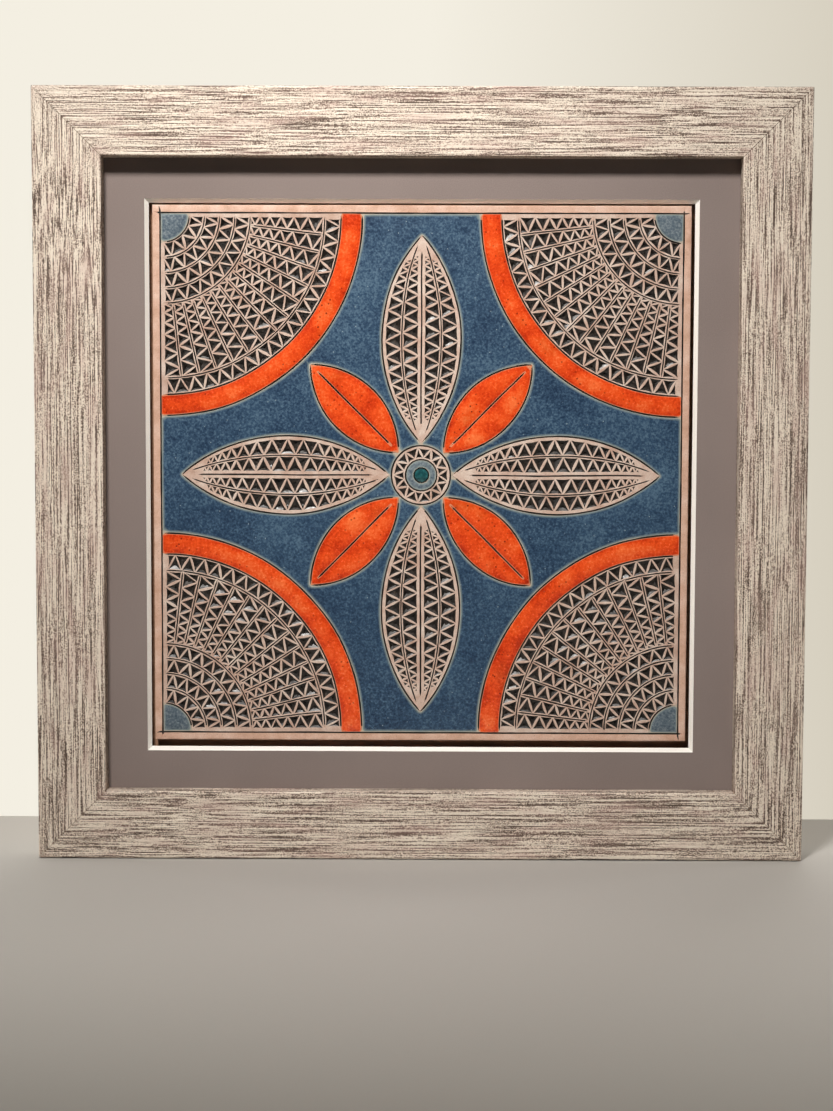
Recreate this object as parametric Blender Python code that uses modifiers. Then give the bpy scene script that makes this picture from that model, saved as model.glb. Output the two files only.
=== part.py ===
"""Framed ceramic artwork: a carved and glazed square tile, set in a mat with a bevelled
window, in a square mitred frame that hangs on a wall.

Metres, +Z up. The front faces -Y and the wall is the plane y = 0. The origin is the centre
of the flat back of the hanger, which is the face that meets the wall.
"""

import math

import bmesh
import bpy
from mathutils import Matrix, Vector

# Tile
TILE_SIZE = 0.408
TILE_THICKNESS = 0.012
TILE_EDGE_EASE = 0.0009
TILE_PROUD = 0.001
TILE_RISE = 0.0015

# Mat and its window
MAT_THICKNESS = 0.003
MAT_BORDER = 0.0305
WINDOW_GAP = 0.003
WINDOW_EXTRA_HEIGHT = 0.0015
WINDOW_DROP = 0.0005

# Frame moulding
RAIL_WIDTH = 0.052
LIP_THICKNESS = 0.014
REBATE_WIDTH = 0.006
OUTER_EASE = 0.0015
SIGHT_EASE = 0.002
EASE_STEPS = 3

# What is behind the mat
MOUNT_BOARD_THICKNESS = 0.005
BACKING_THICKNESS = 0.003
BACK_RECESS = 0.002
SPACER_WIDTH = 0.012
BOARD_CLEARANCE = 0.0005
PAPER_THICKNESS = 0.0005
PAPER_MARGIN = 0.004

# Hanger, screws and bumpers
HANGER_LENGTH = 0.075
HANGER_HEIGHT = 0.016
HANGER_METAL = 0.001
HANGER_STANDOFF = 0.002
HANGER_TAB = 0.014
HANGER_TEETH = 7
TOOTH_PITCH = 0.004
TOOTH_WIDTH = 0.003
TOOTH_DEPTH = 0.003
SCREW_HEAD_RADIUS = 0.0031
SCREW_HEAD_HEIGHT = 0.0014
SCREW_SHANK_RADIUS = 0.0014
SCREW_LENGTH = 0.013
SCREW_POINT = 0.003
ROUND_SIDES = 10
DOME_STEPS = 3
BUMPER_RADIUS = 0.0055
BUMPER_HEIGHT = 0.003
BUMPER_INSET = 0.022

# Room left between pieces that touch
GAP = 0.0003

# Carving on the tile: the lines and chips of the hand tools. The pattern is drawn for a field
# of this half width, and follows the field where the tile has another size
CLAY_BORDER = 0.0065
PATTERN_FIELD_HALF = 0.1975
LINE_HALF_WIDTH = 0.0007
LINE_DEPTH = 0.0012
CHIP_DEPTH = 0.0022
CHIP_INSET = 0.00065
CHIP_OVERCUT = 1.04
CELL_RATIO = 1.1
SMALLEST_BAND = 0.005
BAND_LAND = 0.0006
BAND_SAMPLES = 240
CHORD_ERROR = 0.0005

# Carving: a quarter-round fan in each corner, with a glazed ring round it
FAN_INSET = 0.0016
FAN_RADIUS = 0.135
RING_WIDTH = 0.016
FAN_DISC_RADIUS = 0.020
FAN_RIB_START = 0.066
FAN_RIM_BAND = 0.014
FAN_ROUND_BANDS = 5
FAN_RIBS = 16

# Carving: eight petals and a medallion in the middle
MEDALLION_RADIUS = 0.0225
MEDALLION_DISC_RADIUS = 0.012
BEAD_RADIUS = 0.005
BEAD_HEIGHT = 0.0009
PETAL_ROOT_GAP = 0.0015
PETAL_TIP_GAP = 0.0155
GLAZED_TIP_GAP = 0.007
CARVED_PETAL_HALF_WIDTH = 0.030
CARVED_PETAL_BANDS = 3
GLAZED_PETAL_HALF_WIDTH = 0.0215
TIP_LAND = 0.0016
CHIPS_REACH = 0.9
VEIN_REACH = 0.86

# Positions in depth, from the wall forward
PAPER_BACK_Y = -(BUMPER_HEIGHT + GAP)
PAPER_FRONT_Y = PAPER_BACK_Y - PAPER_THICKNESS
FRAME_BACK_Y = PAPER_FRONT_Y - GAP
BACKING_BACK_Y = FRAME_BACK_Y - BACK_RECESS
BACKING_FRONT_Y = BACKING_BACK_Y - BACKING_THICKNESS
BOARD_BACK_Y = BACKING_FRONT_Y - GAP
BOARD_FRONT_Y = BOARD_BACK_Y - MOUNT_BOARD_THICKNESS
TILE_BACK_Y = BOARD_FRONT_Y - GAP
TILE_FRONT_Y = TILE_BACK_Y - TILE_THICKNESS
MAT_FRONT_Y = TILE_FRONT_Y + TILE_PROUD
MAT_BACK_Y = MAT_FRONT_Y + MAT_THICKNESS
LIP_BACK_Y = MAT_FRONT_Y - GAP
FRAME_FRONT_Y = LIP_BACK_Y - LIP_THICKNESS

# Positions across, from the frame's centre outward
WINDOW_HALF_WIDTH = TILE_SIZE / 2 + WINDOW_GAP
WINDOW_HALF_HEIGHT = WINDOW_HALF_WIDTH + WINDOW_EXTRA_HEIGHT / 2
SIGHT_HALF = WINDOW_HALF_WIDTH + MAT_THICKNESS + MAT_BORDER
REBATE_HALF = SIGHT_HALF + REBATE_WIDTH
BOARD_HALF = REBATE_HALF - BOARD_CLEARANCE
FRAME_HALF = SIGHT_HALF + RAIL_WIDTH
RAIL_BACK_MIDDLE = (REBATE_HALF + FRAME_HALF) / 2
CENTRE_Z = -RAIL_BACK_MIDDLE
TILE_Z = CENTRE_Z + TILE_RISE
FIELD_HALF = TILE_SIZE / 2 - CLAY_BORDER
PATTERN_SCALE = FIELD_HALF / PATTERN_FIELD_HALF
FAN_CENTRE = PATTERN_FIELD_HALF - FAN_INSET
FAN_RIB_END = FAN_RADIUS - FAN_RIM_BAND
PETAL_START = MEDALLION_RADIUS + PETAL_ROOT_GAP
CARVED_PETAL_END = PATTERN_FIELD_HALF - PETAL_TIP_GAP
GLAZED_PETAL_END = FAN_CENTRE * math.sqrt(2) - FAN_RADIUS - RING_WIDTH - GLAZED_TIP_GAP

for old_object in list(bpy.data.objects):
    bpy.data.objects.remove(old_object)

PIECES = bpy.data.collections.new("framed_ceramic_artwork")
CUTTERS = bpy.data.collections.new("cutters")
bpy.context.scene.collection.children.link(PIECES)
bpy.context.scene.collection.children.link(CUTTERS)


def material(name, colour, roughness, metallic=0.0):
    finish = bpy.data.materials.new(name)
    finish.use_nodes = True
    shader = finish.node_tree.nodes["Principled BSDF"]
    shader.inputs["Base Color"].default_value = (*colour, 1.0)
    shader.inputs["Roughness"].default_value = roughness
    shader.inputs["Metallic"].default_value = metallic
    return finish


BRUSHED_WOOD = material("brushed_wood", (0.42, 0.35, 0.28), 0.65)
MAT_CARD = material("mat_card", (0.23, 0.19, 0.17), 0.9)
GLAZED_CLAY = material("glazed_clay", (0.55, 0.36, 0.27), 0.5)
FOAM_BOARD = material("foam_board", (0.75, 0.74, 0.7), 0.8)
HARDBOARD = material("hardboard", (0.22, 0.13, 0.07), 0.75)
KRAFT_PAPER = material("kraft_paper", (0.45, 0.29, 0.16), 0.85)
PLATED_STEEL = material("plated_steel", (0.62, 0.6, 0.55), 0.35, 1.0)
CLEAR_RUBBER = material("clear_rubber", (0.6, 0.6, 0.58), 0.4)


def piece(name, mesh, finish, collection=PIECES):
    """A named object that holds the mesh, with its own material slot."""
    obj = bpy.data.objects.new(name, mesh)
    collection.objects.link(obj)
    if finish is None:
        obj.hide_render = True
        obj.display_type = "WIRE"
    else:
        mesh.materials.clear()
        mesh.materials.append(finish)
    return obj


def box_mesh(name, low, high):
    """A box between two corners, from a unit cube."""
    low = Vector(low)
    high = Vector(high)
    bm = bmesh.new()
    bmesh.ops.create_cube(bm, size=1.0)
    bmesh.ops.scale(bm, vec=high - low, verts=bm.verts)
    bmesh.ops.translate(bm, vec=(low + high) / 2, verts=bm.verts)
    mesh = bpy.data.meshes.new(name)
    bm.to_mesh(mesh)
    bm.free()
    return mesh


def plate(name, half_width, low_z, high_z, front_y, back_y, finish):
    """A flat sheet that stands parallel to the wall."""
    low = (-half_width, front_y, low_z)
    high = (half_width, back_y, high_z)
    return piece(name, box_mesh(name, low, high), finish)


def subtract(target, cutter):
    """Cut one piece with a hidden cutter."""
    cut = target.modifiers.new("cut " + cutter.name, "BOOLEAN")
    cut.operation = "DIFFERENCE"
    cut.solver = "EXACT"
    cut.object = cutter
    return cut


def curve_mesh(name, curve):
    """The closed mesh of a curve's evaluated shape, its caps welded."""
    holder = bpy.data.objects.new(name, curve)
    bpy.context.scene.collection.objects.link(holder)
    bpy.context.view_layer.update()
    depsgraph = bpy.context.evaluated_depsgraph_get()
    mesh = bpy.data.meshes.new_from_object(holder.evaluated_get(depsgraph))
    bpy.data.objects.remove(holder)
    bm = bmesh.new()
    bm.from_mesh(mesh)
    bmesh.ops.remove_doubles(bm, verts=bm.verts, dist=0.00001)
    bmesh.ops.recalc_face_normals(bm, faces=bm.faces)
    bm.to_mesh(mesh)
    bm.free()
    mesh.name = name
    return mesh


def extruded_outline(name, points, thickness):
    """A flat outline in local XY, thick along local Z and centred on it."""
    curve = bpy.data.curves.new(name, "CURVE")
    curve.dimensions = "2D"
    curve.fill_mode = "BOTH"
    curve.extrude = thickness / 2
    spline = curve.splines.new("POLY")
    spline.points.add(len(points) - 1)
    for point, place in zip(spline.points, points):
        point.co = (place[0], place[1], 0.0, 1.0)
    spline.use_cyclic_u = True
    return curve_mesh(name, curve)


def round_bar(name, radius, length, sides, centre):
    """A cylinder along Y, for a drilled hole."""
    bm = bmesh.new()
    lay_along_y = Matrix.Translation(centre) @ Matrix.Rotation(math.radians(90), 4, "X")
    bmesh.ops.create_cone(
        bm, cap_ends=True, segments=sides, radius1=radius, radius2=radius, depth=length,
        matrix=lay_along_y)
    mesh = bpy.data.meshes.new(name)
    bm.to_mesh(mesh)
    bm.free()
    return piece(name, mesh, None, CUTTERS)


# Frame: four mitred rails

def eased_corner(corner, towards_first, towards_second, radius):
    """Points of a quarter round that takes the place of a square corner."""
    corner = Vector(corner)
    first = Vector(towards_first)
    second = Vector(towards_second)
    centre = corner + (first + second) * radius
    points = []
    for step in range(EASE_STEPS + 1):
        angle = math.radians(90) * step / EASE_STEPS
        points.append(centre - second * radius * math.cos(angle) - first * radius * math.sin(angle))
    return points


def rail_profile():
    """Section of the moulding: local X is the distance below the frame's centre, Y is depth."""
    outer = -FRAME_HALF
    sight = -SIGHT_HALF
    rebate = -REBATE_HALF
    profile = [Vector((outer, FRAME_BACK_Y))]
    profile += eased_corner((outer, FRAME_FRONT_Y), (1, 0), (0, 1), OUTER_EASE)[::-1]
    profile += eased_corner((sight, FRAME_FRONT_Y), (-1, 0), (0, 1), SIGHT_EASE)
    profile += [
        Vector((sight, LIP_BACK_Y)),
        Vector((rebate, LIP_BACK_Y)),
        Vector((rebate, FRAME_BACK_Y)),
    ]
    return profile


def rail(name, turn):
    """One side of the frame, its ends mitred at 45 degrees."""
    mesh = extruded_outline(name, rail_profile(), FRAME_HALF)
    mitre_room = GAP / math.sqrt(2)
    for vertex in mesh.vertices:
        side = math.copysign(1.0, vertex.co.z)
        vertex.co.z = side * (-vertex.co.x - mitre_room)
    side_rail = piece(name, mesh, BRUSHED_WOOD)
    side_rail.location = (0, 0, CENTRE_Z)
    side_rail.rotation_euler = (0, math.radians(90 + turn), 0)
    return side_rail


top_rail = rail("frame_rail_top", 0)
rail("frame_rail_right", 90)
rail("frame_rail_bottom", 180)
rail("frame_rail_left", 270)


# Mat with its bevelled window

def window_cutter():
    """A block whose sides lean by the mat's thickness, for a bevel of 45 degrees."""
    overcut = MAT_THICKNESS
    mesh = box_mesh(
        "window_cutter",
        (-WINDOW_HALF_WIDTH, MAT_FRONT_Y - overcut, -WINDOW_HALF_HEIGHT),
        (WINDOW_HALF_WIDTH, MAT_BACK_Y + overcut, WINDOW_HALF_HEIGHT))
    for vertex in mesh.vertices:
        lean = MAT_BACK_Y - vertex.co.y
        vertex.co.x += math.copysign(1, vertex.co.x) * lean
        vertex.co.z += math.copysign(1, vertex.co.z) * lean
    cutter = piece("window_cutter", mesh, None, CUTTERS)
    cutter.location = (0, 0, CENTRE_Z - WINDOW_DROP)
    return cutter


mat_board = plate(
    "mat_board", BOARD_HALF, CENTRE_Z - BOARD_HALF, CENTRE_Z + BOARD_HALF,
    MAT_FRONT_Y, MAT_BACK_Y, MAT_CARD)
subtract(mat_board, window_cutter())


# Spacers, boards and dust cover

def spacer_strips():
    """Four strips that hold the mat off the board, hidden behind the mat's border."""
    front = MAT_BACK_Y + GAP
    back = BOARD_FRONT_Y - GAP
    inner = BOARD_HALF - SPACER_WIDTH
    for name, side in (("spacer_strip_top", 1), ("spacer_strip_bottom", -1)):
        edges = sorted((side * inner, side * BOARD_HALF))
        plate(name, BOARD_HALF, CENTRE_Z + edges[0], CENTRE_Z + edges[1], front, back, FOAM_BOARD)
    upright = inner - GAP
    for name, side in (("spacer_strip_left", -1), ("spacer_strip_right", 1)):
        edges = sorted((side * inner, side * BOARD_HALF))
        low = (edges[0], front, CENTRE_Z - upright)
        high = (edges[1], back, CENTRE_Z + upright)
        piece(name, box_mesh(name, low, high), FOAM_BOARD)


spacer_strips()
plate("mount_board", BOARD_HALF, CENTRE_Z - BOARD_HALF, CENTRE_Z + BOARD_HALF,
      BOARD_FRONT_Y, BOARD_BACK_Y, FOAM_BOARD)
plate("backing_board", BOARD_HALF, CENTRE_Z - BOARD_HALF, CENTRE_Z + BOARD_HALF,
      BACKING_FRONT_Y, BACKING_BACK_Y, HARDBOARD)
PAPER_HALF = FRAME_HALF - PAPER_MARGIN
dust_cover = plate("dust_cover", PAPER_HALF, CENTRE_Z - PAPER_HALF, CENTRE_Z + PAPER_HALF,
                   PAPER_FRONT_Y, PAPER_BACK_Y, KRAFT_PAPER)


# Hanger with its screws

def turned(name, profile, finish):
    """A body turned round its own Z axis, which points to the wall."""
    bm = bmesh.new()
    points = [bm.verts.new((radius, 0, height)) for radius, height in profile]
    for first, second in zip(points, points[1:]):
        bm.edges.new((first, second))
    mesh = bpy.data.meshes.new(name)
    bm.to_mesh(mesh)
    bm.free()
    body = piece(name, mesh, finish)
    spin = body.modifiers.new("turn", "SCREW")
    spin.axis = "Z"
    spin.steps = ROUND_SIDES
    spin.render_steps = ROUND_SIDES
    spin.use_merge_vertices = True
    spin.merge_threshold = 0.00001
    body.rotation_euler = (math.radians(-90), 0, 0)
    return body


def dome_profile(radius, height, base):
    """A low dome's profile, from its top down to its rim."""
    profile = []
    for step in range(DOME_STEPS + 1):
        angle = math.radians(90) * step / DOME_STEPS
        profile.append((radius * math.sin(angle), base + height * math.cos(angle)))
    return profile


HANGER_FACE_Y = -(HANGER_STANDOFF + HANGER_METAL)
SCREW_X = (HANGER_LENGTH - HANGER_TAB) / 2


def hanger():
    """A strip bent out in the middle, with saw teeth along the lower edge of the bend."""
    half = HANGER_LENGTH / 2
    bend = half - HANGER_TAB
    raised = bend - HANGER_STANDOFF
    back = 0.0
    outline = [
        (-half, HANGER_FACE_Y), (-bend, HANGER_FACE_Y), (-raised, back - HANGER_METAL),
        (raised, back - HANGER_METAL), (bend, HANGER_FACE_Y), (half, HANGER_FACE_Y),
        (half, HANGER_FACE_Y + HANGER_METAL), (bend + HANGER_METAL / 2, HANGER_FACE_Y + HANGER_METAL),
        (raised + HANGER_METAL / 2, back), (-raised - HANGER_METAL / 2, back),
        (-bend - HANGER_METAL / 2, HANGER_FACE_Y + HANGER_METAL), (-half, HANGER_FACE_Y + HANGER_METAL),
    ]
    mesh = extruded_outline("sawtooth_hanger", outline, HANGER_HEIGHT)
    strip = piece("sawtooth_hanger", mesh, PLATED_STEEL)
    bm = bmesh.new()
    tooth_reach = HANGER_STANDOFF + 2 * HANGER_METAL
    for tooth in range(HANGER_TEETH):
        x = (tooth - (HANGER_TEETH - 1) / 2) * TOOTH_PITCH
        place = (
            Matrix.Translation((x, -HANGER_METAL / 2, -HANGER_HEIGHT / 2))
            @ Matrix.Diagonal((TOOTH_WIDTH / 2, 1.0, TOOTH_DEPTH, 1.0))
            @ Matrix.Rotation(math.radians(90), 4, "X"))
        bmesh.ops.create_cone(
            bm, cap_ends=True, segments=4, radius1=1.0, radius2=1.0, depth=tooth_reach, matrix=place)
    teeth = bpy.data.meshes.new("saw_teeth")
    bm.to_mesh(teeth)
    bm.free()
    subtract(strip, piece("saw_teeth", teeth, None, CUTTERS))
    return strip


sawtooth_hanger = hanger()
for side_name, side in (("left", -1), ("right", 1)):
    hole = round_bar(
        "screw_hole_" + side_name, SCREW_SHANK_RADIUS + GAP, 2 * (SCREW_LENGTH + GAP), ROUND_SIDES,
        (side * SCREW_X, HANGER_FACE_Y, 0))
    for drilled in (sawtooth_hanger, dust_cover, top_rail):
        subtract(drilled, hole)
    screw_profile = dome_profile(SCREW_HEAD_RADIUS, SCREW_HEAD_HEIGHT, GAP) + [
        (SCREW_SHANK_RADIUS, GAP), (SCREW_SHANK_RADIUS, SCREW_POINT - SCREW_LENGTH), (0, -SCREW_LENGTH)]
    screw = turned("hanger_screw_" + side_name, screw_profile, PLATED_STEEL)
    screw.location = (side * SCREW_X, HANGER_FACE_Y + HANGER_METAL, 0)


# Bumpers on the lower corners
for side_name, side in (("left", -1), ("right", 1)):
    bumper = turned(
        "bumper_" + side_name, dome_profile(BUMPER_RADIUS, BUMPER_HEIGHT, 0) + [(0, 0)], CLEAR_RUBBER)
    reach = FRAME_HALF - BUMPER_INSET
    bumper.location = (side * reach, -BUMPER_HEIGHT, CENTRE_Z - reach)


# Carving: the tile lies in its own frame, local Z out of its face, and is stood up at the end

def polar(centre, radius, degrees):
    angle = math.radians(degrees)
    return Vector((centre[0] + radius * math.cos(angle), centre[1] + radius * math.sin(angle)))


def lens_half_width(along, half_length, half_width):
    """Half the width of a pointed petal whose two sides are arcs, at a place on its axis."""
    arc_radius = (half_length ** 2 + half_width ** 2) / (2 * half_width)
    return math.sqrt(arc_radius ** 2 - along ** 2) - (arc_radius - half_width)


def cell_edges(edge_a, edge_b, start, end):
    """Places along a band where its cells meet, each cell as long as the band is wide there."""
    samples = BAND_SAMPLES
    places = [start + (end - start) * i / samples for i in range(samples + 1)]
    middles = [(edge_a(t) + edge_b(t)) / 2 for t in places]
    phase = [0.0]
    for i in range(samples):
        width = (edge_a(places[i]) - edge_b(places[i])).length
        phase.append(phase[-1] + (middles[i + 1] - middles[i]).length / (width * CELL_RATIO))
    count = max(1, round(phase[-1]))
    edges = []
    at = 0
    for cell in range(count + 1):
        wanted = phase[-1] * cell / count
        while at < samples - 1 and phase[at + 1] < wanted:
            at += 1
        share = (wanted - phase[at]) / (phase[at + 1] - phase[at])
        edges.append(places[at] + (places[at + 1] - places[at]) * share)
    return edges


def inset_triangle(corners, inset):
    """The triangle with each side moved inward, or None where too little is left."""
    a, b, c = corners
    side_a = (b - c).length
    side_b = (c - a).length
    side_c = (a - b).length
    around = side_a + side_b + side_c
    area = abs((b - a).cross(c - a)) / 2
    in_radius = 2 * area / around
    if in_radius < inset * 1.5:
        return None
    middle = (a * side_a + b * side_b + c * side_c) / around
    keep = 1 - inset / in_radius
    return [middle + (corner - middle) * keep for corner in corners]


def band_chips(edge_a, edge_b, start, end):
    """One row of triangular chips, their bases along the band's first edge."""
    edges = cell_edges(edge_a, edge_b, start, end)
    chips = []
    for first, second in zip(edges, edges[1:]):
        middle = (first + second) / 2
        if (edge_a(middle) - edge_b(middle)).length < SMALLEST_BAND:
            continue
        chip = inset_triangle((edge_a(first), edge_a(second), edge_b(middle)), CHIP_INSET)
        if chip:
            chips.append(chip)
    return chips


def fan_chips():
    """Chips of the corner fan whose centre is at the origin and which opens to +X +Y."""
    chips = []
    centre = (0, 0)
    step = (FAN_RIB_START - FAN_DISC_RADIUS) / FAN_ROUND_BANDS
    round_bands = [
        (FAN_DISC_RADIUS + step * i, FAN_DISC_RADIUS + step * (i + 1)) for i in range(FAN_ROUND_BANDS)]
    round_bands.append((FAN_RIB_END, FAN_RADIUS))
    for inner, outer in round_bands:
        chips += band_chips(
            lambda t: polar(centre, inner + BAND_LAND, t), lambda t: polar(centre, outer - BAND_LAND, t),
            1, 89)
    for band in range(FAN_RIBS):
        low = 90 * band / FAN_RIBS
        high = 90 * (band + 1) / FAN_RIBS

        def low_edge(radius):
            return polar(centre, radius, low + math.degrees(BAND_LAND / radius))

        def high_edge(radius):
            return polar(centre, radius, high - math.degrees(BAND_LAND / radius))

        near, far = (low_edge, high_edge) if band < FAN_RIBS / 2 else (high_edge, low_edge)
        chips += band_chips(near, far, FAN_RIB_START + BAND_LAND, FAN_RIB_END - BAND_LAND)
    return chips


def petal_chips():
    """Chips of the carved petal that lies along +Y."""
    half_length = (CARVED_PETAL_END - PETAL_START) / 2
    middle = (CARVED_PETAL_END + PETAL_START) / 2
    reach = half_length * CHIPS_REACH
    chips = []
    for side in (-1, 1):
        for band in range(CARVED_PETAL_BANDS):

            def edge(along, border, land):
                width = lens_half_width(along - middle, half_length, CARVED_PETAL_HALF_WIDTH)
                across = TIP_LAND + (width - 2 * TIP_LAND) * border / CARVED_PETAL_BANDS + land
                return Vector((side * across, along))

            chips += band_chips(
                lambda t: edge(t, band, BAND_LAND), lambda t: edge(t, band + 1, -BAND_LAND),
                middle - reach, middle + reach)
    return chips


def medallion_chips():
    """Chips of the ring round the middle disc."""
    return band_chips(
        lambda t: polar((0, 0), MEDALLION_DISC_RADIUS + LINE_HALF_WIDTH + BAND_LAND, t),
        lambda t: polar((0, 0), MEDALLION_RADIUS - LINE_HALF_WIDTH - BAND_LAND, t),
        0, 360)


def cone_frame():
    """The corners of a three-sided unit cone, to map each chip from."""
    bm = bmesh.new()
    bmesh.ops.create_cone(bm, cap_ends=True, segments=3, radius1=1, radius2=0, depth=1)
    low = [v.co.copy() for v in bm.verts if v.co.z < 0]
    high = [v.co.copy() for v in bm.verts if v.co.z > 0]
    bm.free()
    return columns(low + high[:1])


def columns(points):
    """A matrix whose columns are four points."""
    matrix = Matrix([(*point, 1.0) for point in points])
    matrix.transpose()
    return matrix


def add_chip(bm, corners, from_cone):
    """Add one chip: a pyramid that points down into the clay under the given triangle."""
    corners = [corner * PATTERN_SCALE for corner in corners]
    middle = (corners[0] + corners[1] + corners[2]) / 3
    bottom = Vector((middle.x, middle.y, -CHIP_DEPTH))
    mouth = [bottom + (Vector((c.x, c.y, 0)) - bottom) * CHIP_OVERCUT for c in corners]
    target = columns(mouth + [bottom])
    if (target @ from_cone).determinant() < 0:
        target = columns([mouth[1], mouth[0], mouth[2], bottom])
    bmesh.ops.create_cone(
        bm, cap_ends=True, segments=3, radius1=1, radius2=0, depth=1, matrix=target @ from_cone)


def add_line(bm, points, closed=False):
    """Add one incised line: a V-shaped groove along the points."""
    curve = bpy.data.curves.new("incised_line", "CURVE")
    curve.dimensions = "3D"
    curve.twist_mode = "Z_UP"
    curve.bevel_depth = LINE_HALF_WIDTH
    curve.bevel_resolution = 0
    curve.use_fill_caps = True
    spline = curve.splines.new("POLY")
    spline.points.add(len(points) - 1)
    for point, place in zip(spline.points, points):
        point.co = (place[0] * PATTERN_SCALE, place[1] * PATTERN_SCALE, 0.0, 1.0)
    spline.use_cyclic_u = closed
    mesh = curve_mesh("incised_line", curve)
    for vertex in mesh.vertices:
        vertex.co.z *= LINE_DEPTH / LINE_HALF_WIDTH
    bm.from_mesh(mesh)
    bpy.data.meshes.remove(mesh)


def steps_round(radius, degrees):
    """Straight steps that keep an arc's chords within the chord error."""
    step = 2 * math.degrees(math.acos(1 - CHORD_ERROR / radius))
    return math.ceil(degrees / step)


def arc_points(centre, radius, start, end):
    steps = steps_round(radius, end - start)
    return [polar(centre, radius, start + (end - start) * i / steps) for i in range(steps + 1)]


def petal_lines(turn, end, half_width):
    """The two curved sides and the middle vein of a petal, as lists of points."""
    half_length = (end - PETAL_START) / 2
    middle = (end + PETAL_START) / 2
    spin = Matrix.Rotation(math.radians(turn), 2)
    reach = half_length - TIP_LAND
    arc_radius = (half_length ** 2 + half_width ** 2) / (2 * half_width)
    steps = steps_round(arc_radius, 2 * math.degrees(math.asin(reach / arc_radius)))
    lines = []
    for side in (-1, 1):
        line = []
        for i in range(steps + 1):
            along = reach * (2 * i / steps - 1)
            across = lens_half_width(along, half_length, half_width)
            line.append(spin @ Vector((side * across, middle + along)))
        lines.append(line)
    vein = reach * VEIN_REACH
    lines.append([spin @ Vector((0, middle - vein)), spin @ Vector((0, middle + vein))])
    return lines


def carving():
    """Everything that is cut into the tile's face, as one cutter of separate chips and grooves."""
    bm = bmesh.new()
    from_cone = cone_frame().inverted()
    fan_centre = Vector((-FAN_CENTRE, -FAN_CENTRE))
    for quarter in range(4):
        start = 90 * quarter
        turn = Matrix.Rotation(math.radians(start), 2)
        for chip in fan_chips():
            add_chip(bm, [turn @ (point + fan_centre) for point in chip], from_cone)
        for chip in petal_chips():
            add_chip(bm, [turn @ point for point in chip], from_cone)
        for radius in (FAN_DISC_RADIUS, FAN_RADIUS, FAN_RADIUS + RING_WIDTH):
            add_line(bm, arc_points(turn @ fan_centre, radius, start, start + 90))
        for line in petal_lines(start, CARVED_PETAL_END, CARVED_PETAL_HALF_WIDTH):
            add_line(bm, line)
        for line in petal_lines(start + 45, GLAZED_PETAL_END, GLAZED_PETAL_HALF_WIDTH):
            add_line(bm, line)
    for chip in medallion_chips():
        add_chip(bm, chip, from_cone)
    for radius in (MEDALLION_RADIUS, MEDALLION_DISC_RADIUS):
        add_line(bm, arc_points((0, 0), radius, 0, 360)[:-1], closed=True)
    edge = PATTERN_FIELD_HALF + LINE_HALF_WIDTH / 2
    add_line(bm, [(-edge, -edge), (edge, -edge), (edge, edge), (-edge, edge)], closed=True)
    mesh = bpy.data.meshes.new("carving")
    bm.to_mesh(mesh)
    bm.free()
    return piece("carving", mesh, None, CUTTERS)


def bead():
    """The small glazed bead in the middle, low and round, rooted in the tile."""
    bm = bmesh.new()
    squash = Matrix.Diagonal((1, 1, BEAD_HEIGHT / BEAD_RADIUS, 1))
    bmesh.ops.create_uvsphere(bm, u_segments=10, v_segments=6, radius=BEAD_RADIUS, matrix=squash)
    mesh = bpy.data.meshes.new("bead")
    bm.to_mesh(mesh)
    bm.free()
    return piece("bead", mesh, None, CUTTERS)


def stand_up(obj):
    """Turn a shape from the tile's own frame to its place in the artwork."""
    obj.location = (0, TILE_FRONT_Y, TILE_Z)
    obj.rotation_euler = (math.radians(90), 0, 0)


def ceramic_tile():
    """One slab of fired clay with the whole pattern cut into its face."""
    half = TILE_SIZE / 2
    mesh = box_mesh("ceramic_tile", (-half, -half, -TILE_THICKNESS), (half, half, 0))
    tile = piece("ceramic_tile", mesh, GLAZED_CLAY)
    ease = tile.modifiers.new("eased edges", "BEVEL")
    ease.width = TILE_EDGE_EASE
    ease.segments = 1
    dome = bead()
    join = tile.modifiers.new("bead", "BOOLEAN")
    join.operation = "UNION"
    join.solver = "EXACT"
    join.object = dome
    cutter = carving()
    subtract(tile, cutter)
    for shape in (tile, cutter, dome):
        stand_up(shape)
    return tile


ceramic_tile()
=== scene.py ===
# %% [markdown]
# A framed ceramic tile, dressed for its portrait.
# The solids of this artwork are already made: a mitred frame, a mat with a bevelled window, a
# carved tile and the boards and fittings behind them. This lesson gives each of them the
# surface that the real one has, and builds a finer piece where the solid is too plain.

import math

import bmesh
import bpy
import numpy as np
from mathutils import Matrix, Vector
from mathutils.geometry import delaunay_2d_cdt
from mathutils.kdtree import KDTree


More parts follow.
